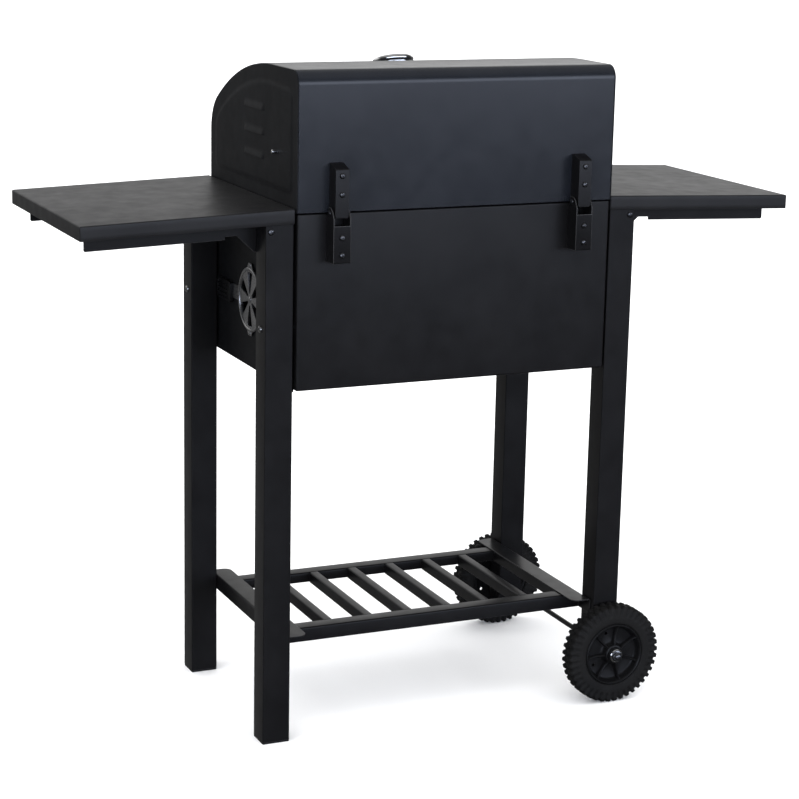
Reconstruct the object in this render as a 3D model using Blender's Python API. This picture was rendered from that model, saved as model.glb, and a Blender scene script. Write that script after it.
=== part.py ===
"""Barrel charcoal grill on a wheeled leg frame, with two side tables and a slatted shelf.

Metres, +Z up. The cook stands at -Y and looks towards +Y; left is -X, where the two wheels are.
The origin is on the floor, under the middle of the firebox. Dimensions below are in millimetres.
"""
import math

import bmesh
import bpy

MM = 0.001

# Frame
LEG_IN, LEG_OUT = 258.5, 301.5
LEG_Y_IN, LEG_Y_OUT = 145.5, 185.5
LEG_TOP = 806.0
LEG_WALL = 1.5
WHEEL_LEG_FOOT = 42.0

# Wheels
WHEEL_X, WHEEL_R = -282.0, 80.0
TYRE_Y = (187.5, 219.0)
RIM_R = 50.0
AXLE_R = 4.0
AXLE_END = 229.0

# Shelf between the legs
SHELF_TOP = 160.9
RAIL_Y_OUT, RAIL_Y_IN = 139.0, 113.0
RAIL_DROP = 22.0
SLAT_W, SLAT_PITCH, SLAT_COUNT = 15.0, 67.5, 8
SLAT_DROP = 17.4
BRACKET_IN, BRACKET_OUT = 226.5, 258.2
BRACKET_Y = 176.0

# Side tables
TABLE_IN, TABLE_OUT = 257.1, 575.0
TABLE_Y = 188.0
TABLE_TOP_RIGHT, TABLE_TOP_LEFT = 812.6, 811.4
TABLE_LIP = 21.6
TABLE_FALL_RIGHT, TABLE_FALL_LEFT = 0.0346, 0.0355
TABLE_RAIL_Y = (125.0, 145.2)

# Firebox
BOX_X = 254.4
BOX_BACK, BOX_FRONT = 188.6, -184.0
BOX_TOP, BOX_BOTTOM, END_BOTTOM = 804.6, 544.3, 540.6
SHEET = 1.2
GRATE_Z = 754.0

# Lid: front wall, front bend, long arc, flat top, rear bend, rear wall
LID_BOTTOM = 806.5
LID_END_X = 256.0
LID_BACK, LID_TOP = 190.4, 1009.5
LONG_ARC_Y, LONG_ARC_R = 80.0, 430.0
FRONT_BEND_R, REAR_BEND_R = 64.0, 21.0
BEND_AT = math.radians(33.0)
GAUGE_X = 4.0

# Hinges, along X
HINGE_Y, HINGE_Z = 201.0, 807.0
HINGE_X = 196.5

# Warming rack and its swing arm, a parallelogram with the lid
RACK_PIN = (105.0, 885.0)
LINK = (-51.0, -27.0)

# Air dampers in the firebox ends
DAMPER_Y, DAMPER_Z = 0.0, 646.5
VANES = 6
BOLT_Y, BOLT_Z = 165.5, 636.0

# Ash drawer
DRAWER_X = 150.0


def clear_scene():
    for obj in list(bpy.data.objects):
        bpy.data.objects.remove(obj, do_unlink=True)


def new_collection(name):
    made = bpy.data.collections.new(name)
    bpy.context.scene.collection.children.link(made)
    return made


def new_material(name, color, roughness, metallic):
    made = bpy.data.materials.new(name)
    made.use_nodes = True
    shader = made.node_tree.nodes["Principled BSDF"]
    shader.inputs["Base Color"].default_value = (*color, 1.0)
    shader.inputs["Roughness"].default_value = roughness
    shader.inputs["Metallic"].default_value = metallic
    made.diffuse_color = (*color, 1.0)
    return made


clear_scene()
GRILL = new_collection("barrel_charcoal_grill")
GUIDES = new_collection("cutters")

BLACK = new_material("powder_coat_black", (0.028, 0.027, 0.029), 0.42, 0.0)
LIDCOAT = new_material("powder_coat_lid", (0.030, 0.034, 0.042), 0.38, 0.0)
CHROME = new_material("chrome", (0.75, 0.75, 0.75), 0.12, 1.0)
STEEL = new_material("zinc_steel", (0.50, 0.50, 0.48), 0.35, 1.0)
IRON = new_material("enamelled_iron", (0.040, 0.040, 0.040), 0.55, 0.2)
PLASTIC = new_material("black_plastic", (0.020, 0.020, 0.020), 0.50, 0.0)
RUBBER = new_material("tyre_rubber", (0.018, 0.018, 0.018), 0.75, 0.0)


# ---------------------------------------------------------------- shapes

def on_axis(axis, a, b, h):
    """(a, b) across the axis and h along it, as x, y, z in metres."""
    point = {"X": (h, a, b), "Y": (a, h, b), "Z": (a, b, h)}[axis]
    return tuple(value * MM for value in point)


def add_prism(bm, outline, low, high, axis):
    """A closed outline carried from low to high along the axis."""
    ends = [[bm.verts.new(on_axis(axis, a, b, h)) for a, b in outline] for h in (low, high)]
    faces = [bm.faces.new(ends[0]), bm.faces.new(ends[1])]
    for i in range(len(outline)):
        j = (i + 1) % len(outline)
        faces.append(bm.faces.new((ends[0][i], ends[0][j], ends[1][j], ends[1][i])))
    bmesh.ops.recalc_face_normals(bm, faces=faces)


def add_box(bm, x, y, z):
    add_prism(bm, [(x[0], y[0]), (x[1], y[0]), (x[1], y[1]), (x[0], y[1])], z[0], z[1], "Z")


def add_lathe(bm, profile, centre, axis, steps):
    """(radius, height) points, first and last on the axis, turned about it."""
    rings = []
    for radius, height in profile:
        if radius == 0.0:
            rings.append([bm.verts.new(on_axis(axis, centre[0], centre[1], height))])
            continue
        ring = []
        for k in range(steps):
            turn = 2 * math.pi * k / steps
            a = centre[0] + radius * math.cos(turn)
            b = centre[1] + radius * math.sin(turn)
            ring.append(bm.verts.new(on_axis(axis, a, b, height)))
        rings.append(ring)
    faces = []
    for low, high in zip(rings, rings[1:]):
        for k in range(steps):
            n = (k + 1) % steps
            corners = [low[k % len(low)], low[n % len(low)], high[n % len(high)], high[k % len(high)]]
            faces.append(bm.faces.new(list(dict.fromkeys(corners))))
    bmesh.ops.recalc_face_normals(bm, faces=faces)


def add_ring(bm, profile, centre, axis, steps):
    """A closed (radius, height) outline clear of the axis, turned about it."""
    add_lathe(bm, profile + profile[:1], centre, axis, steps)
    bmesh.ops.remove_doubles(bm, verts=bm.verts, dist=1e-6)
    bmesh.ops.recalc_face_normals(bm, faces=bm.faces)


def add_cylinder(bm, centre, radius, low, high, axis, steps=16):
    add_lathe(bm, [(0.0, low), (radius, low), (radius, high), (0.0, high)], centre, axis, steps)


def arc(centre, radius, start, end, steps):
    """Points on an arc, angles in degrees."""
    turns = [math.radians(start + (end - start) * k / steps) for k in range(steps + 1)]
    return [(centre[0] + radius * math.cos(t), centre[1] + radius * math.sin(t)) for t in turns]


def new_piece(name, bm, material):
    mesh = bpy.data.meshes.new(name)
    bm.to_mesh(mesh)
    bm.free()
    piece = bpy.data.objects.new(name, mesh)
    mesh.materials.append(material)
    GRILL.objects.link(piece)
    return piece


def new_guide(name, bm):
    mesh = bpy.data.meshes.new(name)
    bm.to_mesh(mesh)
    bm.free()
    guide = bpy.data.objects.new(name, mesh)
    guide.hide_render = True
    guide.display_type = "WIRE"
    GUIDES.objects.link(guide)
    return guide


def combine(piece, bm, operation):
    """Cuts the shapes in bm from the piece, or joins them to it."""
    guide = new_guide(f"{piece.name}_{operation.lower()}_{len(piece.modifiers)}", bm)
    step = piece.modifiers.new(operation.title(), "BOOLEAN")
    step.operation = operation
    step.solver = "EXACT"
    step.object = guide


def cut(piece, bm):
    combine(piece, bm, "DIFFERENCE")


def join(piece, bm):
    combine(piece, bm, "UNION")


def box_piece(name, x, y, z, material):
    bm = bmesh.new()
    add_box(bm, x, y, z)
    return new_piece(name, bm, material)


def prism_piece(name, outline, low, high, axis, material):
    bm = bmesh.new()
    add_prism(bm, outline, low, high, axis)
    return new_piece(name, bm, material)


def lathe_piece(name, profile, centre, axis, steps, material):
    bm = bmesh.new()
    add_lathe(bm, profile, centre, axis, steps)
    return new_piece(name, bm, material)


def rod_piece(name, points, radius, material, sides=2):
    """A round bar bent through the points."""
    curve = bpy.data.curves.new(name, "CURVE")
    curve.dimensions = "3D"
    curve.bevel_depth = radius * MM
    curve.bevel_resolution = sides
    curve.use_fill_caps = True
    line = curve.splines.new("POLY")
    line.points.add(len(points) - 1)
    for spot, (x, y, z) in zip(line.points, points):
        spot.co = (x * MM, y * MM, z * MM, 1.0)
    bar = bpy.data.objects.new(name, curve)
    curve.materials.append(material)
    GRILL.objects.link(bar)
    return bar


def span(side, near, far):
    """near and far from the middle, on the side +1 or -1, in rising order."""
    return tuple(sorted((side * near, side * far)))


SIDES = (("left", -1), ("right", 1))
FACES = (("front", -1), ("rear", 1))


# ---------------------------------------------------------------- frame

def make_legs():
    for side_name, side in SIDES:
        for face_name, face in FACES:
            foot = 0.0 if side > 0 else WHEEL_LEG_FOOT
            x = span(side, LEG_IN, LEG_OUT)
            y = span(face, LEG_Y_IN, LEG_Y_OUT)
            leg = box_piece(f"leg_{face_name}_{side_name}", x, y, (foot, LEG_TOP), BLACK)
            bm = bmesh.new()
            floor = foot + 3.0
            inner_x = (x[0] + LEG_WALL, x[1] - LEG_WALL)
            inner_y = (y[0] + LEG_WALL, y[1] - LEG_WALL)
            add_box(bm, inner_x, inner_y, (floor, LEG_TOP + 10.0))
            cut(leg, bm)
            bm = bmesh.new()
            add_cylinder(bm, (face * BOLT_Y, BOLT_Z), 3.4, *span(side, 250.0, 310.0), "X")
            cut(leg, bm)
            if side < 0:
                bm = bmesh.new()
                add_cylinder(bm, (WHEEL_X, WHEEL_R), 4.4, *span(face, 140.0, 190.0), "Y")
                cut(leg, bm)


def make_firebox_bolts():
    """Each bolt runs through a leg, a spacer and the firebox end, with its nut inside."""
    profile = [(0.0, 304.6), (5.5, 304.6), (5.5, 301.8), (3.0, 301.8), (3.0, 258.2)]
    profile += [(6.0, 258.2), (6.0, 254.7), (3.0, 254.7), (3.0, 252.9), (5.5, 252.9)]
    profile += [(5.5, 249.5), (0.0, 249.5)]
    for side_name, side in SIDES:
        for face_name, face in FACES:
            turned = [(radius, side * height) for radius, height in profile]
            name = f"firebox_bolt_{face_name}_{side_name}"
            lathe_piece(name, turned, (face * BOLT_Y, BOLT_Z), "X", 16, STEEL)


def make_shelf():
    """Two rails and the slats welded between them, all downward channels of sheet."""
    under = SHELF_TOP - SHEET
    bm = bmesh.new()
    add_box(bm, (-256.2, 256.2), (RAIL_Y_IN, RAIL_Y_OUT), (SHELF_TOP - RAIL_DROP, SHELF_TOP))
    shelf = new_piece("shelf_frame", bm, BLACK)
    bm = bmesh.new()
    add_box(bm, (-256.2, 256.2), (-RAIL_Y_OUT, -RAIL_Y_IN), (SHELF_TOP - RAIL_DROP, SHELF_TOP))
    for k in range(SLAT_COUNT):
        x = (k - (SLAT_COUNT - 1) / 2) * SLAT_PITCH
        if k == 0:
            join(shelf, bm)
        bm = bmesh.new()
        y = (-RAIL_Y_IN - 1.0, RAIL_Y_IN + 1.0)
        add_box(bm, (x - SLAT_W / 2, x + SLAT_W / 2), y, (SHELF_TOP - SLAT_DROP, SHELF_TOP))
        join(shelf, bm)
    for side in (-1, 1):
        bm = bmesh.new()
        y = span(side, RAIL_Y_IN - 2.0, RAIL_Y_OUT - SHEET)
        add_box(bm, (-260.0, 260.0), y, (SHELF_TOP - RAIL_DROP - 9.0, SHELF_TOP - SLAT_DROP))
        cut(shelf, bm)
        bm = bmesh.new()
        y = span(side, RAIL_Y_IN + SHEET, RAIL_Y_OUT - SHEET)
        add_box(bm, (-260.0, 260.0), y, (SHELF_TOP - SLAT_DROP - 2.0, under))
        cut(shelf, bm)
    bm = bmesh.new()
    for k in range(SLAT_COUNT):
        x = (k - (SLAT_COUNT - 1) / 2) * SLAT_PITCH
        half = SLAT_W / 2 - SHEET
        y = (-RAIL_Y_IN - 2.5, RAIL_Y_IN + 2.5)
        add_box(bm, (x - half, x + half), y, (SHELF_TOP - SLAT_DROP - 5.0, under - 0.1))
    cut(shelf, bm)


def make_shelf_brackets():
    """An angle across each pair of legs, its flat flange over the rail ends."""
    for side_name, side in SIDES:
        outline = [(BRACKET_OUT, -BRACKET_Y), (BRACKET_OUT, BRACKET_Y)]
        outline += arc((BRACKET_IN + 12.0, BRACKET_Y - 12.0), 12.0, 90.0, 180.0, 5)
        outline += arc((BRACKET_IN + 12.0, 12.0 - BRACKET_Y), 12.0, 180.0, 270.0, 5)
        outline = [(side * x, y) for x, y in outline]
        name = f"shelf_bracket_{side_name}"
        low = SHELF_TOP + 0.3
        bracket = prism_piece(name, outline, low, low + 1.5, "Z", BLACK)
        bm = bmesh.new()
        x = span(side, BRACKET_OUT - 1.5, BRACKET_OUT)
        add_box(bm, x, (-BRACKET_Y, BRACKET_Y), (low - 24.0, low + 1.5))
        join(bracket, bm)


# ---------------------------------------------------------------- wheels

def make_axle():
    rod_piece("axle", [(WHEEL_X, -AXLE_END, WHEEL_R), (WHEEL_X, AXLE_END, WHEEL_R)], AXLE_R, BLACK, 3)


def make_wheels():
    inner, outer = TYRE_Y
    for face_name, face in FACES:
        profile = [(RIM_R + 0.4, inner + 3.0), (58.0, inner), (75.5, inner + 0.6)]
        profile += [(79.0, inner + 2.0), (WHEEL_R, inner + 4.5), (WHEEL_R, outer - 4.5)]
        profile += [(79.0, outer - 2.0), (75.5, outer - 0.6), (58.0, outer), (RIM_R + 0.4, outer - 3.0)]
        bm = bmesh.new()
        turned = [(radius, face * height) for radius, height in profile]
        add_ring(bm, turned, (WHEEL_X, WHEEL_R), "Y", 40)
        new_piece(f"tyre_{face_name}", bm, RUBBER)
        make_hub(face_name, face)


def make_hub(face_name, face):
    """A rim, a web and a bored boss, with ribs on the outer side."""
    inner, outer = TYRE_Y
    profile = [(4.5, 187.0), (12.0, 187.0), (12.0, 203.0), (45.5, 203.0), (45.5, inner + 3.0)]
    profile += [(RIM_R, inner + 3.0), (RIM_R, outer - 3.0), (47.0, outer - 2.0), (45.5, outer - 4.0)]
    profile += [(45.5, 206.0), (15.0, 206.0), (15.0, 219.0), (13.0, 221.5), (4.5, 221.5)]
    bm = bmesh.new()
    turned = [(radius, face * height) for radius, height in profile]
    add_ring(bm, turned, (WHEEL_X, WHEEL_R), "Y", 32)
    hub = new_piece(f"wheel_hub_{face_name}", bm, PLASTIC)
    for k in range(7):
        turn = math.radians(150.0 - 360.0 / 7.0 * k)
        along = (math.cos(turn), math.sin(turn))
        across = (-along[1] * 2.2, along[0] * 2.2)
        corners = []
        for reach, way in ((13.5, -1), (47.5, -1), (47.5, 1), (13.5, 1)):
            x = WHEEL_X + along[0] * reach + way * across[0]
            z = WHEEL_R + along[1] * reach + way * across[1]
            corners.append((x, z))
        bm = bmesh.new()
        add_prism(bm, corners, *span(face, 204.5, 212.0), "Y")
        join(hub, bm)


def make_axle_nuts():
    profile = [(0.0, 233.0), (6.0, 233.0), (8.5, 230.5), (8.5, 225.0), (10.8, 223.5), (10.8, 222.0)]
    profile += [(4.3, 222.0), (4.3, 229.6)]
    profile += [(0.0, 229.6)]
    for face_name, face in FACES:
        turned = [(radius, face * height) for radius, height in profile]
        lathe_piece(f"axle_nut_{face_name}", turned, (WHEEL_X, WHEEL_R), "Y", 18, CHROME)


# ---------------------------------------------------------------- side tables

def table_height(side, x):
    if side > 0:
        return TABLE_TOP_RIGHT - TABLE_FALL_RIGHT * (abs(x) - TABLE_IN)
    return TABLE_TOP_LEFT - TABLE_FALL_LEFT * (abs(x) - TABLE_IN)


def table_section(side, near, far, top, bottom):
    """An outline in X and Z between two depths under the sloping table top."""
    outline = [(near, table_height(side, near) - bottom), (far, table_height(side, far) - bottom)]
    outline += [(far, table_height(side, far) - top), (near, table_height(side, near) - top)]
    return [(side * x, z) for x, z in outline]


def make_tables():
    for side_name, side in SIDES:
        whole = table_section(side, TABLE_IN, TABLE_OUT, 0.0, TABLE_LIP)
        table = prism_piece(f"side_table_{side_name}", whole, -TABLE_Y, TABLE_Y, "Y", BLACK)
        bm = bmesh.new()
        hollow = table_section(side, TABLE_IN + 1.0, TABLE_OUT - 1.0, 1.0, TABLE_LIP + 10.0)
        add_prism(bm, hollow, 1.0 - TABLE_Y, TABLE_Y - 1.0, "Y")
        cut(table, bm)


def make_table_rails():
    """An angle under each long edge of a table, with a gusset at the leg and a deeper outer part."""
    for side_name, side in SIDES:
        for face_name, face in FACES:
            near, far = TABLE_IN + 1.8, TABLE_OUT - 17.0
            web = [(near, 1.4), (near, 65.0), (304.5, 65.0), (331.0, 39.2), (349.0, 39.2)]
            web += [(349.0, 44.0), (far, 44.0), (far, 1.4)]
            web = [(side * x, table_height(side, x) - drop) for x, drop in web]
            y_out = span(face, TABLE_RAIL_Y[1] - 1.3, TABLE_RAIL_Y[1])
            name = f"table_rail_{face_name}_{side_name}"
            rail = prism_piece(name, web, *y_out, "Y", BLACK)
            bm = bmesh.new()
            flange = table_section(side, near, far, 1.4, 2.7)
            add_prism(bm, flange, *span(face, *TABLE_RAIL_Y), "Y")
            join(rail, bm)


# ---------------------------------------------------------------- firebox

def make_firebox():
    wide = (-BOX_X, BOX_X)
    tall = (BOX_BOTTOM, BOX_TOP)
    back = box_piece("firebox_back", wide, (BOX_BACK - SHEET, BOX_BACK), tall, BLACK)
    bm = bmesh.new()
    for side in (-1, 1):
        for z in (747.0, 772.5):
            add_cylinder(bm, (side * HINGE_X, z), 2.9, 180.0, 195.0, "Y", 12)
    cut(back, bm)
    front = box_piece("firebox_front", wide, (BOX_FRONT, BOX_FRONT + SHEET), tall, BLACK)
    bm = bmesh.new()
    add_box(bm, (-DRAWER_X - 1.0, DRAWER_X + 1.0), (-190.0, -175.0), (546.2, 576.0))
    cut(front, bm)
    y = (BOX_FRONT + SHEET + 0.3, BOX_BACK - SHEET - 0.3)
    for side_name, side in SIDES:
        x = span(side, BOX_X - SHEET, BOX_X)
        end = box_piece(f"firebox_end_{side_name}", x, y, (END_BOTTOM, BOX_TOP), BLACK)
        cut(end, damper_openings(*span(side, 245.0, 265.0), 10.0, 41.5, 13.5))
        bm = bmesh.new()
        for face in (-1, 1):
            add_cylinder(bm, (face * BOLT_Y, BOLT_Z), 3.4, *span(side, 245.0, 265.0), "X")
            rivet = (DAMPER_Y, DAMPER_Z + face * 52.5)
            add_cylinder(bm, rivet, 2.3, *span(side, 245.0, 265.0), "X", 12)
        add_cylinder(bm, (DAMPER_Y, DAMPER_Z), 3.4, *span(side, 245.0, 265.0), "X", 12)
        pivot = (HINGE_Y + LINK[0], HINGE_Z + LINK[1])
        add_cylinder(bm, pivot, 3.0, *span(side, 245.0, 265.0), "X", 12)
        cut(end, bm)
    x = (-BOX_X + SHEET + 0.3, BOX_X - SHEET - 0.3)
    box_piece("firebox_floor", x, y, (544.6, 545.8), BLACK)


def make_grate_ledges():
    for face_name, face in FACES:
        wall = BOX_BACK - SHEET - 2.3 if face > 0 else -BOX_FRONT - SHEET - 0.3
        outline = [(wall, 735.0), (wall, 753.6), (wall - 15.0, 753.6), (wall - 15.0, 752.2)]
        outline += [(wall - 1.4, 752.2), (wall - 1.4, 735.0)]
        outline = [(face * y, z) for y, z in outline]
        prism_piece(f"grate_ledge_{face_name}", outline, -245.0, 245.0, "X", BLACK)


def slots(bm, along, across, z, width, count):
    """Long openings, side by side from across[0] to across[1]."""
    pitch = (across[1] - across[0] + width) / count
    for k in range(count):
        start = across[0] + k * pitch
        add_box(bm, (start, start + pitch - width), along, z)


def make_cooking_grates():
    for side_name, side in SIDES:
        x = span(side, 1.5, 250.0)
        y = (BOX_FRONT + SHEET + 1.5, BOX_BACK - SHEET - 3.0)
        name = f"cooking_grate_{side_name}"
        grate = box_piece(name, x, y, (GRATE_Z, GRATE_Z + 4.5), IRON)
        bm = bmesh.new()
        inside = (x[0] + 6.0, x[1] - 6.0)
        slots(bm, (y[0] + 7.0, -2.5), inside, (GRATE_Z - 5.0, GRATE_Z + 10.0), 5.0, 16)
        slots(bm, (2.5, y[1] - 7.0), inside, (GRATE_Z - 5.0, GRATE_Z + 10.0), 5.0, 16)
        cut(grate, bm)


def make_charcoal_grate():
    """A slotted pan with sloped ends that rest against the firebox ends."""
    outline = [(-252.6, 700.0), (-237.0, 640.0), (237.0, 640.0), (252.6, 700.0)]
    outline += [(250.4, 700.0), (235.4, 642.2), (-235.4, 642.2), (-250.4, 700.0)]
    pan = prism_piece("charcoal_grate", outline, -160.0, 160.0, "Y", IRON)
    bm = bmesh.new()
    slots(bm, (-150.0, -4.0), (-225.0, 225.0), (630.0, 650.0), 9.0, 22)
    slots(bm, (4.0, 150.0), (-225.0, 225.0), (630.0, 650.0), 9.0, 22)
    cut(pan, bm)
    bm = bmesh.new()
    add_box(bm, (-260.0, 260.0), (-60.0, 60.0), (646.0, 710.0))
    cut(pan, bm)


def make_ash_drawer():
    drawer = box_piece("ash_drawer", (-DRAWER_X, DRAWER_X), (-184.6, 140.0), (546.9, 572.0), BLACK)
    bm = bmesh.new()
    x = (-DRAWER_X + 1.0, DRAWER_X - 1.0)
    add_box(bm, x, (-183.6, 139.0), (547.9, 580.0))
    cut(drawer, bm)
    bm = bmesh.new()
    outline = [(-184.3, 547.4), (-184.3, 600.0), (-204.0, 600.0), (-204.0, 592.0)]
    outline += [(-202.8, 592.0), (-202.8, 598.8), (-185.5, 598.8), (-185.5, 547.4)]
    add_prism(bm, outline, -165.0, 165.0, "X")
    join(drawer, bm)


# ---------------------------------------------------------------- lid

def lid_profile(inset):
    """The lid's outline in Y and Z, front bottom to rear bottom, moved in by the inset."""
    bend = math.degrees(BEND_AT)
    long_z = LID_TOP - LONG_ARC_R
    reach = LONG_ARC_R - FRONT_BEND_R
    front_y = LONG_ARC_Y - reach * math.sin(BEND_AT)
    front_z = long_z + reach * math.cos(BEND_AT)
    rear = (LID_BACK - REAR_BEND_R, LID_TOP - REAR_BEND_R)
    points = [(front_y - FRONT_BEND_R + inset, LID_BOTTOM)]
    points += arc((front_y, front_z), FRONT_BEND_R - inset, 180.0, 90.0 + bend, 7)
    points += arc((LONG_ARC_Y, long_z), LONG_ARC_R - inset, 90.0 + bend, 90.0, 12)[1:]
    points += arc(rear, REAR_BEND_R - inset, 90.0, 0.0, 6)
    return points + [(LID_BACK - inset, LID_BOTTOM)]


def gauge_spot():
    """Where the thermometer stands on the long arc, and how far it leans forward there."""
    lean = math.asin((LONG_ARC_Y + 49.0) / LONG_ARC_R)
    return (-49.0, LID_TOP - LONG_ARC_R + LONG_ARC_R * math.cos(lean)), lean


def make_lid_shell():
    outline = lid_profile(0.0) + lid_profile(SHEET)[::-1]
    shell = prism_piece("lid_shell", outline, -254.6, 254.6, "X", LIDCOAT)
    bm = bmesh.new()
    for side in (-1, 1):
        for z in (834.5, 861.5):
            add_cylinder(bm, (side * HINGE_X, z), 2.9, 180.0, 198.0, "Y", 12)
    (y, z), lean = gauge_spot()
    add_cylinder(bm, (GAUGE_X, y), 6.5, z - 20.0, z + 10.0, "Z", 16)
    cut(shell, bm)


def lid_field():
    """The raised field pressed into each lid end, inside the lid's outline."""
    points = lid_profile(26.0)[1:-1]
    front, back = points[0][0], 168.0
    points = [(min(y, back), z) for y, z in points if y < 150.0] + [(158.0, 983.0), (back, 973.0)]
    return [(front + 8.0, 834.0), (front, 842.0)] + points + [(back, 842.0), (back - 8.0, 834.0)]


def make_lid_ends():
    for side_name, side in SIDES:
        x = span(side, 254.9, LID_END_X)
        end = prism_piece(f"lid_end_{side_name}", lid_profile(0.0), *x, "X", LIDCOAT)
        bm = bmesh.new()
        add_prism(bm, lid_field(), *span(side, 255.4, 257.6), "X")
        join(end, bm)
        bm = bmesh.new()
        for z in (941.5, 905.0, 870.5):
            louvre = [(-28.0, z), (58.0, z), (58.0, z + 4.0), (-28.0, z + 4.0)]
            add_prism(bm, louvre, *span(side, 250.0, 262.0), "X")
        add_cylinder(bm, RACK_PIN, 2.9, *span(side, 250.0, 262.0), "X", 12)
        cut(end, bm)


def make_lid_handle():
    """A bent tube standing off the lid's front wall."""
    points = [(-170.0, -183.8, 838.0), (-170.0, -224.5, 838.0)]
    points += [(170.0, -224.5, 838.0), (170.0, -183.8, 838.0)]
    rod_piece("lid_handle", points, 8.5, CHROME, 4)


def make_thermometer():
    """A dial head on the lid with its probe through the sheet, leaning with the lid."""
    (y, z), lean = gauge_spot()
    profile = [(0.0, 13.2), (27.8, 13.2), (29.3, 15.0), (31.3, 15.0), (32.3, 13.5), (32.3, 10.5)]
    profile += [(30.3, 9.5), (30.3, 2.5), (27.3, 1.2), (5.0, 1.2), (5.0, -6.0), (2.2, -6.0)]
    profile += [(2.2, -62.0), (0.0, -62.0)]
    gauge = lathe_piece("thermometer", profile, (0.0, 0.0), "Z", 28, CHROME)
    gauge.location = (GAUGE_X * MM, y * MM, z * MM)
    gauge.rotation_euler = (lean, 0.0, 0.0)


# ---------------------------------------------------------------- hinges

def make_hinges():
    for side_name, side in SIDES:
        x = side * HINGE_X
        make_lid_leaf(side_name, x)
        make_box_leaf(side_name, x)
        heads = [(0.0, -15.8), (4.0, -15.8), (4.0, -13.8), (2.4, -13.8), (2.4, 13.8)]
        heads += [(4.0, 13.8), (4.0, 15.8), (0.0, 15.8)]
        placed = [(radius, x + height) for radius, height in heads]
        lathe_piece(f"hinge_pin_{side_name}", placed, (HINGE_Y, HINGE_Z), "X", 16, STEEL)
        make_hinge_bolts(f"hinge_bolts_lid_{side_name}", x, (834.5, 861.5), LID_BACK, 215.5)
        make_hinge_bolts(f"hinge_bolts_box_{side_name}", x, (747.0, 772.5), BOX_BACK, 217.5)


def make_lid_leaf(side_name, x):
    outline = [(190.8, 810.0), (190.8, 878.5), (215.2, 871.0), (215.2, 800.2), (198.0, 800.2)]
    outline += [(194.0, 803.0), (192.6, 807.0)]
    leaf = prism_piece(f"hinge_lid_leaf_{side_name}", outline, x - 10.3, x + 10.3, "X", BLACK)
    bm = bmesh.new()
    inside = [(180.0, 780.0), (213.7, 780.0), (213.7, 869.9), (180.0, 880.3)]
    add_prism(bm, inside, x - 8.8, x + 8.8, "X")
    cut(leaf, bm)
    bm = bmesh.new()
    add_cylinder(bm, (HINGE_Y, HINGE_Z), 2.8, x - 20.0, x + 20.0, "X", 16)
    cut(leaf, bm)
    bm = bmesh.new()
    for z in (834.5, 861.5):
        add_cylinder(bm, (x, z), 2.9, 205.0, 225.0, "Y", 12)
    cut(leaf, bm)


def make_box_leaf(side_name, x):
    outline = [(188.9, 739.0), (192.0, 735.0), (217.2, 735.0), (217.2, 800.0), (211.0, 811.0)]
    outline += [(205.0, 815.0), (197.0, 815.0), (193.4, 811.0), (192.6, 803.0), (188.9, 799.0)]
    leaf = prism_piece(f"hinge_box_leaf_{side_name}", outline, x - 13.5, x + 13.5, "X", BLACK)
    bm = bmesh.new()
    add_box(bm, (x - 12.0, x + 12.0), (180.0, 215.7), (736.5, 830.0))
    cut(leaf, bm)
    bm = bmesh.new()
    add_box(bm, (x - 12.0, x + 12.0), (210.0, 225.0), (789.5, 830.0))
    cut(leaf, bm)
    bm = bmesh.new()
    add_cylinder(bm, (HINGE_Y, HINGE_Z), 2.8, x - 20.0, x + 20.0, "X", 16)
    cut(leaf, bm)
    bm = bmesh.new()
    for z in (747.0, 772.5):
        add_cylinder(bm, (x, z), 2.9, 205.0, 225.0, "Y", 12)
    cut(leaf, bm)


def make_hinge_bolts(name, x, heights, wall, head):
    """Two bolts through the leaf and the wall, joined by a backing strap inside the wall."""
    inside = wall - SHEET - 0.3
    low, high = heights
    strap = box_piece(name, (x - 8.0, x + 8.0), (inside - 1.6, inside), (low - 8.0, high + 8.0), STEEL)
    for z in heights:
        bm = bmesh.new()
        profile = [(0.0, inside - 1.0), (2.5, inside - 1.0), (2.5, head), (4.8, head)]
        profile += [(4.8, head + 1.6), (3.4, head + 3.0), (0.0, head + 3.2)]
        add_lathe(bm, profile, (x, z), "Y", 14)
        join(strap, bm)


# ---------------------------------------------------------------- warming rack

def make_warming_rack():
    low = (RACK_PIN[0] + LINK[0], RACK_PIN[1] + LINK[1])
    x, y = (-243.5, 243.5), (-95.0, 42.0)
    rack = box_piece("warming_rack", x, y, (856.5, 859.5), CHROME)
    bm = bmesh.new()
    for k in range(9):
        start = -91.0 + k * 14.6
        for side in (-1, 1):
            add_box(bm, span(side, 3.0, 239.0), (start, start + 10.8), (850.0, 865.0))
    cut(rack, bm)
    for side in (-1, 1):
        bm = bmesh.new()
        outline = [(-95.0, 855.0), (58.0, 852.0), (61.0, 858.0), (111.0, 880.0), (112.0, 888.0)]
        outline += [(106.0, 892.0), (99.0, 890.0), (44.0, 866.0), (-95.0, 862.0)]
        add_prism(bm, outline, *span(side, 242.5, 244.5), "X")
        join(rack, bm)
        bm = bmesh.new()
        add_cylinder(bm, low, 3.0, *span(side, 235.0, 250.0), "X", 16)
        add_cylinder(bm, RACK_PIN, 3.0, *span(side, 235.0, 250.0), "X", 16)
        cut(rack, bm)


def make_rack_arm():
    """One bent rod: pivot in a firebox end, up to the rack, across, and down to the other end."""
    pivot = (HINGE_Y + LINK[0], HINGE_Z + LINK[1])
    top = (RACK_PIN[0] + LINK[0], RACK_PIN[1] + LINK[1])
    half = [(257.2, *pivot), (248.6, *pivot), (248.6, *top)]
    points = half + [(-x, y, z) for x, y, z in reversed(half)]
    rod_piece("rack_arm", points, 2.2, CHROME, 2)


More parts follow.
